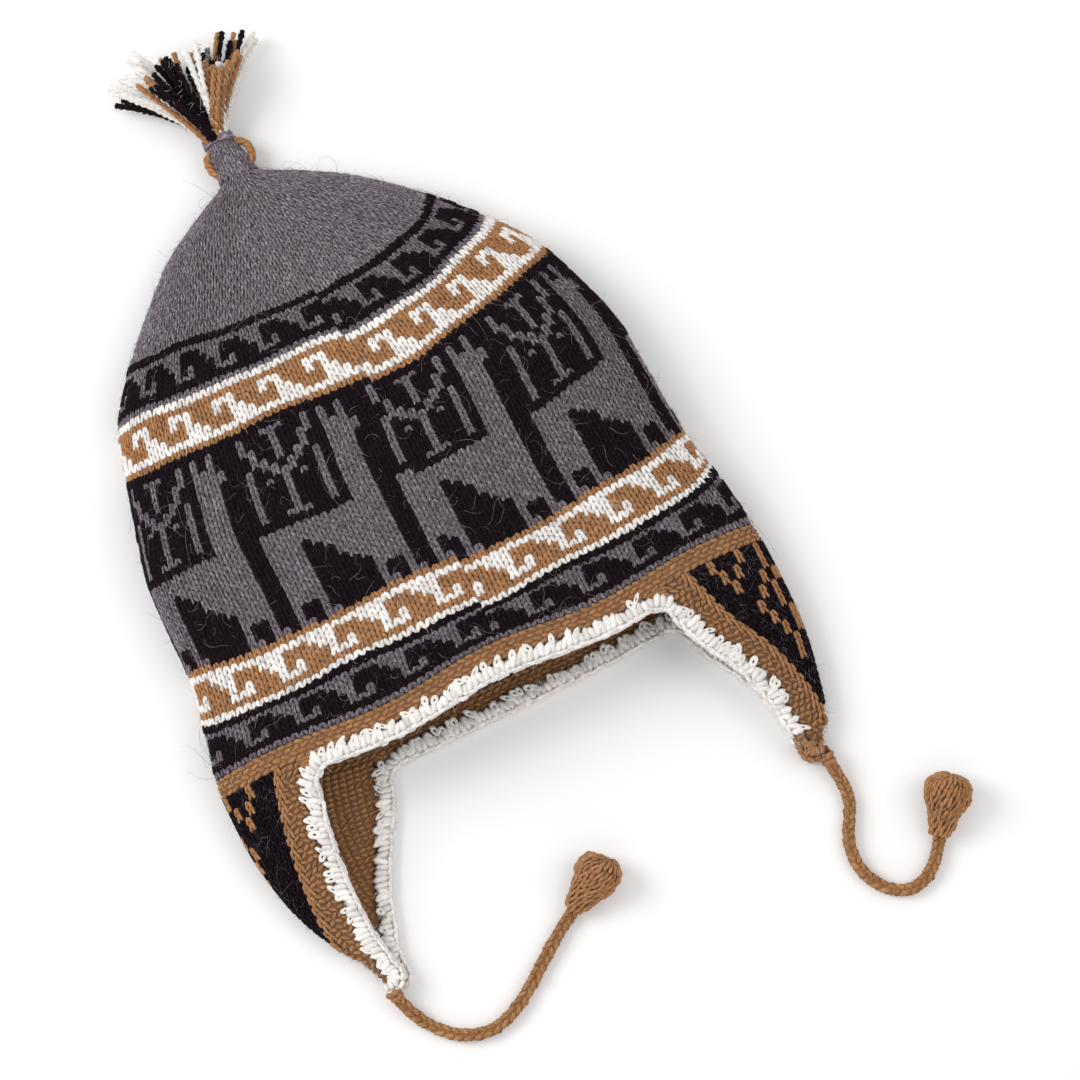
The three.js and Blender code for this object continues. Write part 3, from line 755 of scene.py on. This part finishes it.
left_top, right_top = flap_table["left"][-1], flap_table["right"][-1]
stop_points, stop_outward, stop_raised = gathered((
    rim_run(right_top[1] + CORNER, left_top[1] - CORNER), flap_run("left", "front"), tip_run("left"),
    turned_back(flap_run("left", "back")), rim_run(left_top[2] + CORNER, 1 + right_top[2] - CORNER),
    flap_run("right", "back"), turned_back(tip_run("right")), turned_back(flap_run("right", "front"))))
stop_points = stop_points + stop_outward * EDGE_OUT
stop_points[:, 2] = np.maximum(stop_points[:, 2], EDGING_RADIUS + 0.3)


def curve_through(points, closed, per):
    """A smooth run through points, per of them for each span."""
    ring = np.concatenate([points[-1:], points, points[:2]]) if closed else np.concatenate(
        [2 * points[:1] - points[1:2], points, 2 * points[-1:] - points[-2:-1]])
    t = (np.arange(per) / per)[:, None]
    parts = []
    for i in range(len(ring) - 3):
        a, b, c, d = ring[i:i + 4]
        parts.append(0.5 * (2 * b + (c - a) * t + (2 * a - 5 * b + 4 * c - d) * t * t
                            + (3 * b - a - 3 * c + d) * t ** 3))
    if not closed:
        parts.append(points[-1:])
    return np.concatenate(parts)


def evenly(points, others, step, closed):
    """The same run with even steps, and the vectors that go with it."""
    line = np.concatenate([points, points[:1]]) if closed else points
    reach = reaches(line)
    count = max(2, round(reach[-1] / step))
    at = np.linspace(0, reach[-1], count + 1)[: count if closed else count + 1]
    result = []
    for values in (points, *others):
        values = np.concatenate([values, values[:1]]) if closed else values
        result.append(np.stack([np.interp(at, reach, values[:, k]) for k in range(3)], 1))
    return result


edge_line, edge_out, edge_up = (curve_through(v, True, 6) for v in (stop_points, stop_outward, stop_raised))


def edging_at(step):
    line, outward, raised = evenly(edge_line, (edge_out, edge_up), step, True)
    run = unit(np.roll(line, -1, axis=0) - np.roll(line, 1, axis=0))
    outward = unit(outward - run * np.sum(outward * run, axis=1, keepdims=True))
    raised = np.cross(run, outward)
    kept = evenly(edge_line, (edge_up,), step, True)[1]
    raised = raised * np.sign(np.sum(raised * kept, axis=1, keepdims=True))
    return line, run, outward, raised


core_line, core_run, core_out, core_up = edging_at(EDGE_STITCH)


def bare_tip(points):
    """True at the right flap's tip, where the edge is worked in camel."""
    return (points[:, 0] > 92) & (points[:, 1] < -190)


def slimness(points):
    """How much of its girth the edging keeps: it thins towards the flaps' tips."""
    white_tip = (points[:, 0] < -70) & (points[:, 1] < -198)
    return np.where(bare_tip(points), 0.7, np.where(white_tip, 0.78, 1.0))[:, None]


def edging_spot(u, v):
    i = np.round(u * len(core_line)).astype(int) % len(core_line)
    turn = 2 * np.pi * v[:, None]
    slim = slimness(core_line[i])
    across = core_out[i] * (2.1 * np.cos(turn) - 0.6) + core_up[i] * 1.9 * np.sin(turn)
    return core_line[i] - core_out[i] * (1 - slim) * 1.5 + across * slim


# The core lies under the edging's stitches: its white is darkened to 0.85 and its camel tip by SHADED, both
# painted shade
def edging_dye_and_shade(u, v):
    brown = bare_tip(edging_spot(u, v))[:, None]
    return np.where(brown, DYES[CAMEL] * SHADED, DYES[WHITE] * (0.85, 0.85, 0.85, 1))


shell("edging_core", len(core_line), 8, edging_spot, edging_dye_and_shade, "crochet_edging")
line, run, outward, raised = core_line, core_run, core_out, core_up
count = len(line)
parts = []
for turn in (-1, 1):
    wobble = chance.normal(0, 0.25, (count, 1))
    parts.append((line + outward * (1.7 + wobble) + raised * turn * 1.0, run * 2.5 + raised * turn * 0.7,
                  raised * 1.15, outward))
    slant = chance.normal(0.6, 0.6, (count, 1))
    sunk = chance.normal(0, 0.2, (count, 1))
    ragged = chance.normal(0, 0.55, (count, 1))
    parts.append((line + raised * turn * (1.5 + sunk) - outward * (1.0 + ragged),
                  outward * (3.1 + ragged) + run * slant, run * 1.75, raised * turn))
pieces = gathered(parts)
bare = bare_tip(pieces[0])
slim = slimness(pieces[0])
pieces[0] = pieces[0] - np.concatenate([outward] * 4) * (1 - slim) * 1.2
pieces[1] = pieces[1] * (0.3 + 0.7 * slim)
leaves("edging_stitches", *(part[~bare] for part in pieces), 1.2, WHITE, bow=0.4)
leaves("edging_tip_stitches", *(part[bare] for part in pieces), 0.9, CAMEL, bow=0.2, bright=0.9)

# One small loop of the edging: a ring of yarn that lies flat, of unit radius
RING_STEPS = 8
RING_SIDES = 5
RING_YARN = 0.66
ring, spoke = np.indices((RING_STEPS, RING_SIDES)).reshape(2, -1)
swing, turn = 2 * np.pi * ring / RING_STEPS, 2 * np.pi * spoke / RING_SIDES
wide = 1 - RING_YARN * np.sin(turn)
loop_points = np.stack([wide * np.cos(swing), wide * np.sin(swing), RING_YARN * np.cos(turn)], 1)
this, beside = ring * RING_SIDES + spoke, ring * RING_SIDES + (spoke + 1) % RING_SIDES
over, across = ((k + RING_SIDES) % len(loop_points) for k in (this, beside))
loop_faces = np.concatenate([np.stack([this, over, across], 1), np.stack([this, across, beside], 1)])
cell, side_cells = cells(len(loop_faces))
loop_map = ((cell + np.array(((0.1, 0.1), (0.9, 0.1), (0.1, 0.9)))) / side_cells).reshape(-1, 2)
line, run, outward, raised = edging_at(EDGE_LOOP)
keep = (chance.random(len(line)) < 0.7) & ~bare_tip(line)
middles, lengths, widths, ups = [], [], [], []
for turn, inward in ((1, 3.3), (-1, 3.2)):
    count = int(keep.sum())
    reach = inward + chance.normal(0, 0.7, (count, 1))
    astray = run[keep] * chance.normal(0, 0.7, (count, 1))
    middles.append(line[keep] - outward[keep] * reach + raised[keep] * turn * 1.7 + astray)
    slant = run[keep] * chance.normal(0.4, 0.7, (count, 1))
    lengths.append(outward[keep] * chance.uniform(1.2, 1.9, (count, 1)) + slant)
    widths.append(run[keep] * chance.uniform(0.85, 1.25, (count, 1)))
    ups.append(raised[keep] * turn * 1.6)
middle, length, wide, high = (np.concatenate(v) for v in (middles, lengths, widths, ups))
points = (middle[:, None] + length[:, None] * loop_points[None, :, 1:2]
          + wide[:, None] * loop_points[None, :, 0:1] + high[:, None] * loop_points[None, :, 2:3])
strands = loop_points[None] * 3 + (chance.random(len(points)) * 200)[:, None, None]
joined("edging_loops", points, strands, 1 + chance.normal(0, 0.04, len(points)), loop_faces, loop_map, WHITE)

# Tie cords: camel chains crocheted from the flaps' tips, which lie in loose curves on the table.
# Four columns of stitches run round each, leaning left and right in turn.
CORD_DIAMETER = 5.6
CORD_CORE = 2.2
CORD_STITCH = 1.95
COLLAR = 14
REST = CORD_DIAMETER / 2 + 0.05
ROUTES = {
    "left": [(-95.9, -213.5, 6.2), (-94.8, -217.8, 5.2), (-92.9, -222.2, 4.0), (-90.4, -226.8, REST),
             (-86.4, -232.4, REST), (-80.6, -237.8, REST), (-73.4, -241.6, REST), (-66.0, -242.8, REST),
             (-59.2, -241.6, REST), (-52.3, -238.8, REST), (-45.7, -234.9, REST), (-39.5, -230.4, REST),
             (-33.0, -225.6, REST), (-26.5, -220.9, REST), (-20.4, -216.8, REST), (-14.5, -213.4, REST)],
    "right": [(109.5, -203.9, 6.5), (110.0, -208.0, 5.4), (110.7, -212.6, 4.0), (110.9, -216.8, REST),
              (110.4, -221.0, REST), (108.8, -225.6, REST), (106.0, -230.2, REST), (103.4, -235.2, REST),
              (101.6, -241.2, REST), (101.2, -247.4, REST), (102.6, -253.6, REST), (105.8, -259.4, REST),
              (110.6, -264.2, REST), (116.6, -266.6, REST), (122.8, -266.0, REST), (128.4, -262.8, REST),
              (133.2, -258.0, REST), (137.2, -252.6, REST)],
}


def tube_faces(rings, sides):
    faces, maps = [], []
    for i in range(rings - 1):
        for j in range(sides):
            a, b = i * sides + j, i * sides + (j + 1) % sides
            faces += [(a, b, b + sides), (a, b + sides, a + sides)]
            u0, u1, v0, v1 = j / sides, (j + 1) / sides, i / rings, (i + 1) / rings
            maps += [(u0, v0), (u1, v0), (u1, v1), (u0, v0), (u1, v1), (u0, v1)]
    last = (rings - 1) * sides
    for j in range(1, sides - 1):
        faces += [(0, j + 1, j), (last, last + j, last + j + 1)]
        maps += [(0.1, 0.96), (0.2, 0.96), (0.2, 0.99), (0.5, 0.96), (0.6, 0.96), (0.6, 0.99)]
    return np.array(faces), np.array(maps)


def tubes(name, paths, radius, sides, yarn, bright=1.0):
    """Closed round tubes along paths, count x rings x 3, in mm."""
    count, rings = paths.shape[:2]
    run = unit(np.gradient(paths, axis=1))
    first = unit(np.cross(run, np.array((0.31, 0.17, 0.93))))
    second = np.cross(run, first)
    turn = 2 * np.pi * np.arange(sides) / sides
    spoke = first[:, :, None] * np.cos(turn)[:, None] + second[:, :, None] * np.sin(turn)[:, None]
    radius = np.broadcast_to(radius, (count, rings))
    points = (paths[:, :, None] + spoke * radius[:, :, None, None]).reshape(count, -1, 3)
    far = np.linalg.norm(np.diff(paths, axis=1), axis=2).cumsum(axis=1)
    far = np.concatenate([np.zeros((count, 1)), far], 1)
    offset = (chance.random(count) * 200)[:, None, None]
    strands = np.empty((count, rings, sides, 3))
    strands[..., 0] = far[:, :, None] * 0.5
    strands[..., 1] = 2 * np.cos(turn) + far[:, :, None] * 0.6
    strands[..., 2] = 2 * np.sin(turn) + offset
    faces, maps = tube_faces(rings, sides)
    return joined(name, points, strands, bright * (1 + chance.normal(0, 0.05, count)), faces, maps, yarn)


UPRIGHT = np.array((0, 0, 1.0))


def line_frame(line):
    """Along a line, level across it, and up from it."""
    run = unit(np.gradient(line, axis=-2))
    flat = unit(np.cross(run, UPRIGHT))
    return run, flat, np.cross(flat, run)


def cord_line(which, step):
    smooth = curve_through(np.array(ROUTES[which]), False, 12)
    return evenly(smooth, (), step, False)[0]


def merge(name, pieces):
    """Joins pieces of one yarn into the first, each with its own strip of the map."""
    for k, piece in enumerate(pieces):
        layer = piece.data.uv_layers["OFBake"]
        where = np.empty(len(layer.data) * 2, np.float32)
        layer.data.foreach_get("uv", where)
        where[::2] = (where[::2] + k) / len(pieces)
        layer.data.foreach_set("uv", where)
    with bpy.context.temp_override(active_object=pieces[0], selected_editable_objects=pieces):
        bpy.ops.object.join()
    pieces[0].name = name
    return pieces[0]


# Bobbles: bells of camel crochet that end the cords, lying on their sides.
# Each is worked in rounds from the cord's last chain and drawn shut at its wide end.
KNOBS = {"left": (25.0, 9.6), "right": (25.0, 10.0)}
KNOB_PROFILE = np.array([(0, 0.3), (0, 0.42), (0.3, 0.6), (0.62, 0.94), (0.8, 1), (0.94, 0.82), (1, 0.45),
                         (1, 0)])
KNOB_ROW = 3.1
KNOB_STITCH = 4.2
KNOB_OUT = -0.75


def bell(foot, axis, one, two, outline, reach):
    """Gives where a bobble's skin is, for stitches on it and for the cloth under them."""
    def skin(share, turn, more):
        rise = np.interp(share * reach[-1], reach, outline[:, 0])
        wide = np.maximum(np.interp(share * reach[-1], reach, outline[:, 1]) + more, 0.05)
        return (foot + axis * rise[:, None] + one * (wide * np.cos(turn))[:, None]
                + two * (wide * np.sin(turn))[:, None])

    def under(u, v):
        points = skin(v, 2 * np.pi * u, -1.0)
        points[v > 0.999] = foot + axis * (outline[-1, 0] - 0.8)
        points[v < 0.001] = foot + axis * 0.4
        return points

    return skin, under


for which in ("left", "right"):
    line = cord_line(which, CORD_STITCH)
    run, flat, above = line_frame(line)
    # The core shows only between the cord's stitches; its camel is darkened to 0.8 as painted shade
    core = tubes("cord_core_" + which, line[None], CORD_CORE, 8, CAMEL, 0.8)
    parts = []
    for column in range(4):
        turn = math.pi / 4 + column * math.pi / 2
        spoke = flat * math.cos(turn) + above * math.sin(turn)
        beside = np.cross(run, spoke)
        these = slice(column % 2, None, 2)
        lean = chance.normal(1.1 if column % 2 else -1.1, 0.3, (len(line[these]), 1))
        bulge = chance.normal(2.05, 0.16, (len(line[these]), 1))
        parts.append((line[these] + spoke[these] * bulge, run[these] * 2.6 + beside[these] * lean,
                      beside[these] * 1.55, spoke[these]))
    middle, length, wide, out = gathered(parts)
    chain = leaves("cord_stitches_" + which, middle, length, wide, out, 1.1, CAMEL, bright=0.93)
    cord = merge("tie_cord_yarn_" + which, [core, chain])
    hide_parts("tie_cord_" + which)

    # Two rounds of stitches draw the flap's tip in on to the cord
    turn = 4 * np.pi * np.arange(COLLAR) / COLLAR
    ahead = np.where(np.arange(COLLAR) < COLLAR / 2, -2.2, 0.3)[:, None]
    spoke = flat[0] * np.cos(turn)[:, None] + above[0] * np.sin(turn)[:, None]
    beside = np.cross(run[0], spoke)
    collar = line[0] + run[0] * ahead + spoke * np.where(ahead < 0, 2.9, 2.3)
    tilt = run[0] * chance.normal(0, 0.5, (COLLAR, 1))
    leaves("tip_collar_" + which, collar, beside * 1.8 + tilt, np.tile(run[0] * 1.6, (COLLAR, 1)), spoke,
           1.1, CAMEL)

    long, radius = KNOBS[which]
    heading = run[-1]
    neck = KNOB_PROFILE[1, 1] * radius
    climb = math.asin((radius - neck) / (0.8 * long))
    level = unit(np.array((heading[0], heading[1], 0.0)))
    axis = level * math.cos(climb) + np.array((0, 0, math.sin(climb)))
    height = neck * math.cos(climb) + 0.5
    foot = line[-1] + heading * (SEAT + (2 * REST - 0.05 - height) * math.tan(climb))
    foot[2] = height
    one = unit(np.cross(axis, UPRIGHT))
    two = np.cross(axis, one)
    outline = KNOB_PROFILE * (long, radius)
    reach = reaches(outline)
    knob_at, knob_spot = bell(foot, axis, one, two, outline, reach)
    knob = shell("bobble_core_" + which, 16, 14, knob_spot, plain_dye_and_shade(CAMEL), "tie_knob_" + which)
    share, turn, columns = [], [], []
    knob_rows = int(reach[-1] / KNOB_ROW)
    for k in range(knob_rows):
        s = 0.05 + 0.94 * (k + 0.5) / knob_rows
        wide = float(np.interp(s * reach[-1], reach, outline[:, 1]))
        n = max(3, round(2 * math.pi * wide / KNOB_STITCH))
        share += [s] * n
        turn += [2 * math.pi * (j + 0.5 * (k % 2)) / n for j in range(n)]
        columns += [n] * n
    share, turn, columns = map(np.array, (share, turn, columns))
    here = knob_at(share, turn, KNOB_OUT)
    upward = knob_at(share + 0.03, turn, KNOB_OUT) - knob_at(share - 0.03, turn, KNOB_OUT)
    half = np.pi / columns
    across = knob_at(share, turn + half, KNOB_OUT) - knob_at(share, turn - half, KNOB_OUT)
    out = unit(np.cross(across, upward))
    lopsided = chance.normal(0, 0.35, (len(here), 1))
    legs = stitch_legs(here + out * lopsided, out, across, unit(upward) * 3.3 + unit(across) * 0.9)
    bobble = leaves("bobble_stitches_" + which, *legs, 1.15, CAMEL, bow=0.3)
    length = float(np.linalg.norm(np.diff(line, axis=0), axis=1).sum() * MM)

# Tassel: a bunch of cut two-ply yarn in the hat's four colours, bound on to the crown's tip.
# The strands fan out over the table, and the lowest ones lie on it.
HEAD = np.array((-6.0, 149.5, 5.3))
TASSEL_LENGTH = 51.0
LOCKS = 27
STRANDS = 3 * LOCKS
PLY = 0.92
RINGS = 20
lock = np.arange(STRANDS) // 3
lift = np.linspace(0.02, 1, LOCKS)[lock] ** 1.2
swing = (0.05 + 1.17 * (2 * ((np.arange(LOCKS) * 0.618034 + 0.1) % 1) - 1))[lock] * (1 - 0.35 * lift)
swing = swing + chance.normal(0, 0.07, STRANDS)
rise = -0.05 + 0.55 * lift + chance.normal(0, 0.03, STRANDS)
# The upper locks are cut shorter, and most of them are camel
short = np.array([1.0, 0.96, 0.82, 1.0, 0.78])[lock % 5] * np.where(lift > 0.45, 0.8, 1.0)
far = TASSEL_LENGTH * short * chance.uniform(0.9, 1.04, STRANDS)
under = np.array([BLACK, WHITE, GREY, WHITE, BLACK, WHITE, CAMEL])[lock % 7]
over = np.array([CAMEL, WHITE, BLACK, CAMEL, CAMEL, BLACK])[lock % 6]
dyed = np.where(lift > 0.4, over, under)
t = np.linspace(0, 1, RINGS)
bend = chance.normal(0, 0.13, LOCKS)[lock] + chance.normal(0, 0.05, STRANDS)
angle = swing[:, None] * (0.55 + 0.45 * t) + bend[:, None] * t * t
climb = rise[:, None] * (1.25 - 0.55 * t)
steps = np.stack([np.sin(angle) * np.cos(climb), np.cos(angle) * np.cos(climb), np.sin(climb)], 2)
steps = steps * (far / (RINGS - 1))[:, None, None]
spread = np.stack([chance.normal(0, 1.7, STRANDS), chance.normal(0, 0.8, STRANDS), 1.2 + 5 * lift], 1)
middle = np.concatenate([np.zeros((STRANDS, 1, 3)), np.cumsum(steps[:, :-1], axis=1)], 1)
middle = HEAD + spread[:, None] + middle
middle[:, :, 2] = np.maximum(middle[:, :, 2], 1.8)
run, flat, above = line_frame(middle)
tassel_lines = middle
for yarn in (GREY, BLACK, CAMEL, WHITE):
    these = dyed == yarn
    paths = []
    for ply in (0, 1):
        turn = 2 * np.pi * t * far[these][:, None] / 6.5 + ply * np.pi
        paths.append(middle[these] + 0.72 * (flat[these] * np.cos(turn)[:, :, None]
                                             + above[these] * np.sin(turn)[:, :, None]))
    tubes("tassel_" + YARN_NAMES[yarn], np.concatenate(paths), PLY, 5, yarn)
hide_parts("tassel")

# Binding: the crown's tip is gathered into a knitted neck, tied at its top with turns of grey yarn,
# and a twisted loop of camel yarn sews the tassel down at each side.
NECK_TURNS = 5
NECK_ROWS = 7
NECK_STITCHES = 15
NECK_OUT = 0.3
LOOP_LEVEL = 233.0


def neck_at(share, turn, more):
    wide, tall = 8.4 - 3.2 * share + more, 6.4 - 1.4 * share + more
    middle = np.stack([-4.75 - 1.2 * share, 132 + 20 * share, 7.0 + 0 * share], 1)
    return middle + np.stack([wide * np.cos(turn), 0 * turn, tall * np.sin(turn)], 1)


def neck_spot(u, v):
    points = neck_at(v, 2 * np.pi * u, -0.3)
    for end in (v < 0.001, v > 0.999):
        points[end] = points[end].mean(axis=0)
    return points


shell("tassel_neck", 24, 10, neck_spot, plain_dye_and_shade(GREY))
turn = np.linspace(0, 2 * np.pi, 40)
turns = []
for k in range(NECK_TURNS):
    slope = chance.normal(0, 0.035)
    share = 0.83 + 0.17 * k / NECK_TURNS + slope * np.sin(turn + k)
    turns.append(neck_at(share, turn, 0.95))
tubes("tassel_binding", np.array(turns), 0.75, 6, GREY, 1.15)
row, column = np.indices((NECK_ROWS, NECK_STITCHES)).reshape(2, -1)
share, turn = (row + 0.3) / NECK_ROWS * 0.86, 2 * np.pi * column / NECK_STITCHES
share = share + chance.normal(0, 0.012, len(share))
half = np.pi / NECK_STITCHES
here = neck_at(share, turn, NECK_OUT)
across = neck_at(share, turn + half, NECK_OUT) - neck_at(share, turn - half, NECK_OUT)
upward = neck_at(share + 0.061, turn, NECK_OUT) - neck_at(share - 0.061, turn, NECK_OUT)
legs = stitch_legs(here, unit(np.cross(upward, across)) * -1, across, upward)
leaves("neck_stitches", *legs, 0.8, GREY, bow=0.4)
left, right, fold = (float(smooth_column(SLEEVE, k, LOOP_LEVEL)) for k in (1, 2, 4))
for name, turn in (("left", -1), ("right", 1)):
    s = np.linspace(0, 1, 40)
    tuck = 4.5 * np.abs(2 * s - 1) ** 4
    x = (right - left) / 2 + turn * ((left + right) / 2 + 0.4 + 1.5 * 4 * s * (1 - s) - tuck)
    line = np.stack([x, 134 + 13 * s, np.full(40, fold + 2.0)], 1)
    run, flat, above = line_frame(line)
    plies = []
    for ply in range(3):
        twist = 2 * np.pi * (s * 13 / 8.5 + ply / 3)
        plies.append(line + 0.95 * (flat * np.cos(twist)[:, None] + above * np.sin(twist)[:, None]))
    loop = tubes("tassel_loop_yarn_" + name, np.array(plies), 0.95, 6, CAMEL)
    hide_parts("tassel_loop_" + name)

# Loose fibres: the brushed yarns' fuzz, short hairs that blur the stitches and stray long curls.
# They are drawn coarser than real hairs, 0.15 mm, so that they show.
HAIR = 0.075
ROOT = 1.3


def hairs(name, root, raised, long, stand, yarn, bright=1.0, rings=2, curl=0.3):
    """Hairs from root: long and stand give the spread of their lengths and of how far they stand off."""
    count = len(root)
    long, stand = chance.gamma(*long, count), chance.uniform(*stand, count)
    heading = chance.normal(0, 1, (count, 3))
    heading = unit(heading - raised * np.sum(heading * raised, axis=1, keepdims=True))
    beside = np.cross(raised, heading)
    s = np.linspace(0, 1, rings)
    veer = chance.normal(0, curl, (count, 1)) * s + chance.normal(0, curl, (count, 1)) * np.sin(3 * s)
    steps = heading[:, None] * np.cos(veer)[:, :, None] + beside[:, None] * np.sin(veer)[:, :, None]
    steps = steps[:, 1:] * (long / (rings - 1))[:, None, None]
    paths = root[:, None] + np.concatenate([np.zeros((count, 1, 3)), np.cumsum(steps, axis=1)], 1)
    paths = paths + raised[:, None] * (stand[:, None] * s * (1.9 - s))[:, :, None]
    paths[:, :, 2] = np.maximum(paths[:, :, 2], 0.12)
    return tubes(name, paths, (HAIR * (1 - 0.7 * s * s))[None], 3, yarn, bright)


FUZZ = [12000, 14500, 2600, 2000]
for yarn in (GREY, BLACK, CAMEL, WHITE):
    pick = chance.choice(np.flatnonzero(colours == yarn), FUZZ[yarn])
    around = arounds[pick] + halves[pick] * chance.uniform(-1, 1, len(pick))
    level = row_level(rows[pick] + chance.uniform(-0.5, 0.5, len(pick)), around)
    hairs("fuzz_" + YARN_NAMES[yarn], on_cloth(around, level, ROOT), sleeve_normal(around, level),
          (3.0, 1.0), (0.3, 1.5), yarn, 1.1)
count = 1200
around, row = chance.random(count), chance.uniform(0, ROWS - 4, count)
level = row_level(row, around)
hairs("stray_curls", on_cloth(around, level, ROOT), sleeve_normal(around, level),
      (3.0, 3.2), (0.8, 3.2), GREY, 1.3, rings=9, curl=1.7)
count = 900
around = chance.random(count)
level = rim_edge(around) - chance.uniform(0, BAND, count)
hairs("rim_hairs", on_cloth(around, level, 1.2), sleeve_normal(around, level), (2, 1.2), (0.5, 1.6), CAMEL)
for which in ("left", "right"):
    share, down = chance.random(count), chance.random(count) ** 1.4
    here, across, upward, raised = flap_frame(which, share, down, 1.2)
    hairs("flap_hairs_" + which, here, raised, (2.2, 1.4), (0.5, 1.8), GREY)
count = 2800
pick = chance.integers(0, len(core_line), count)
tilt = chance.uniform(0, 2 * np.pi, count)[:, None]
spoke = core_out[pick] * np.cos(tilt) + core_up[pick] * np.sin(tilt)
hairs("edging_hairs", core_line[pick] + spoke * 2.4, spoke, (2, 1.0), (0.4, 1.6), WHITE)
for yarn, count in ((WHITE, 900), (BLACK, 400)):
    which, ring = chance.integers(0, STRANDS, count), chance.integers(4, RINGS, count)
    spoke = unit(chance.normal(0, 1, (count, 3)))
    hairs("tassel_fuzz_" + YARN_NAMES[yarn], tassel_lines[which, ring] + spoke, spoke, (3, 1.1), (0.5, 2.5),
          yarn, rings=4, curl=0.9)
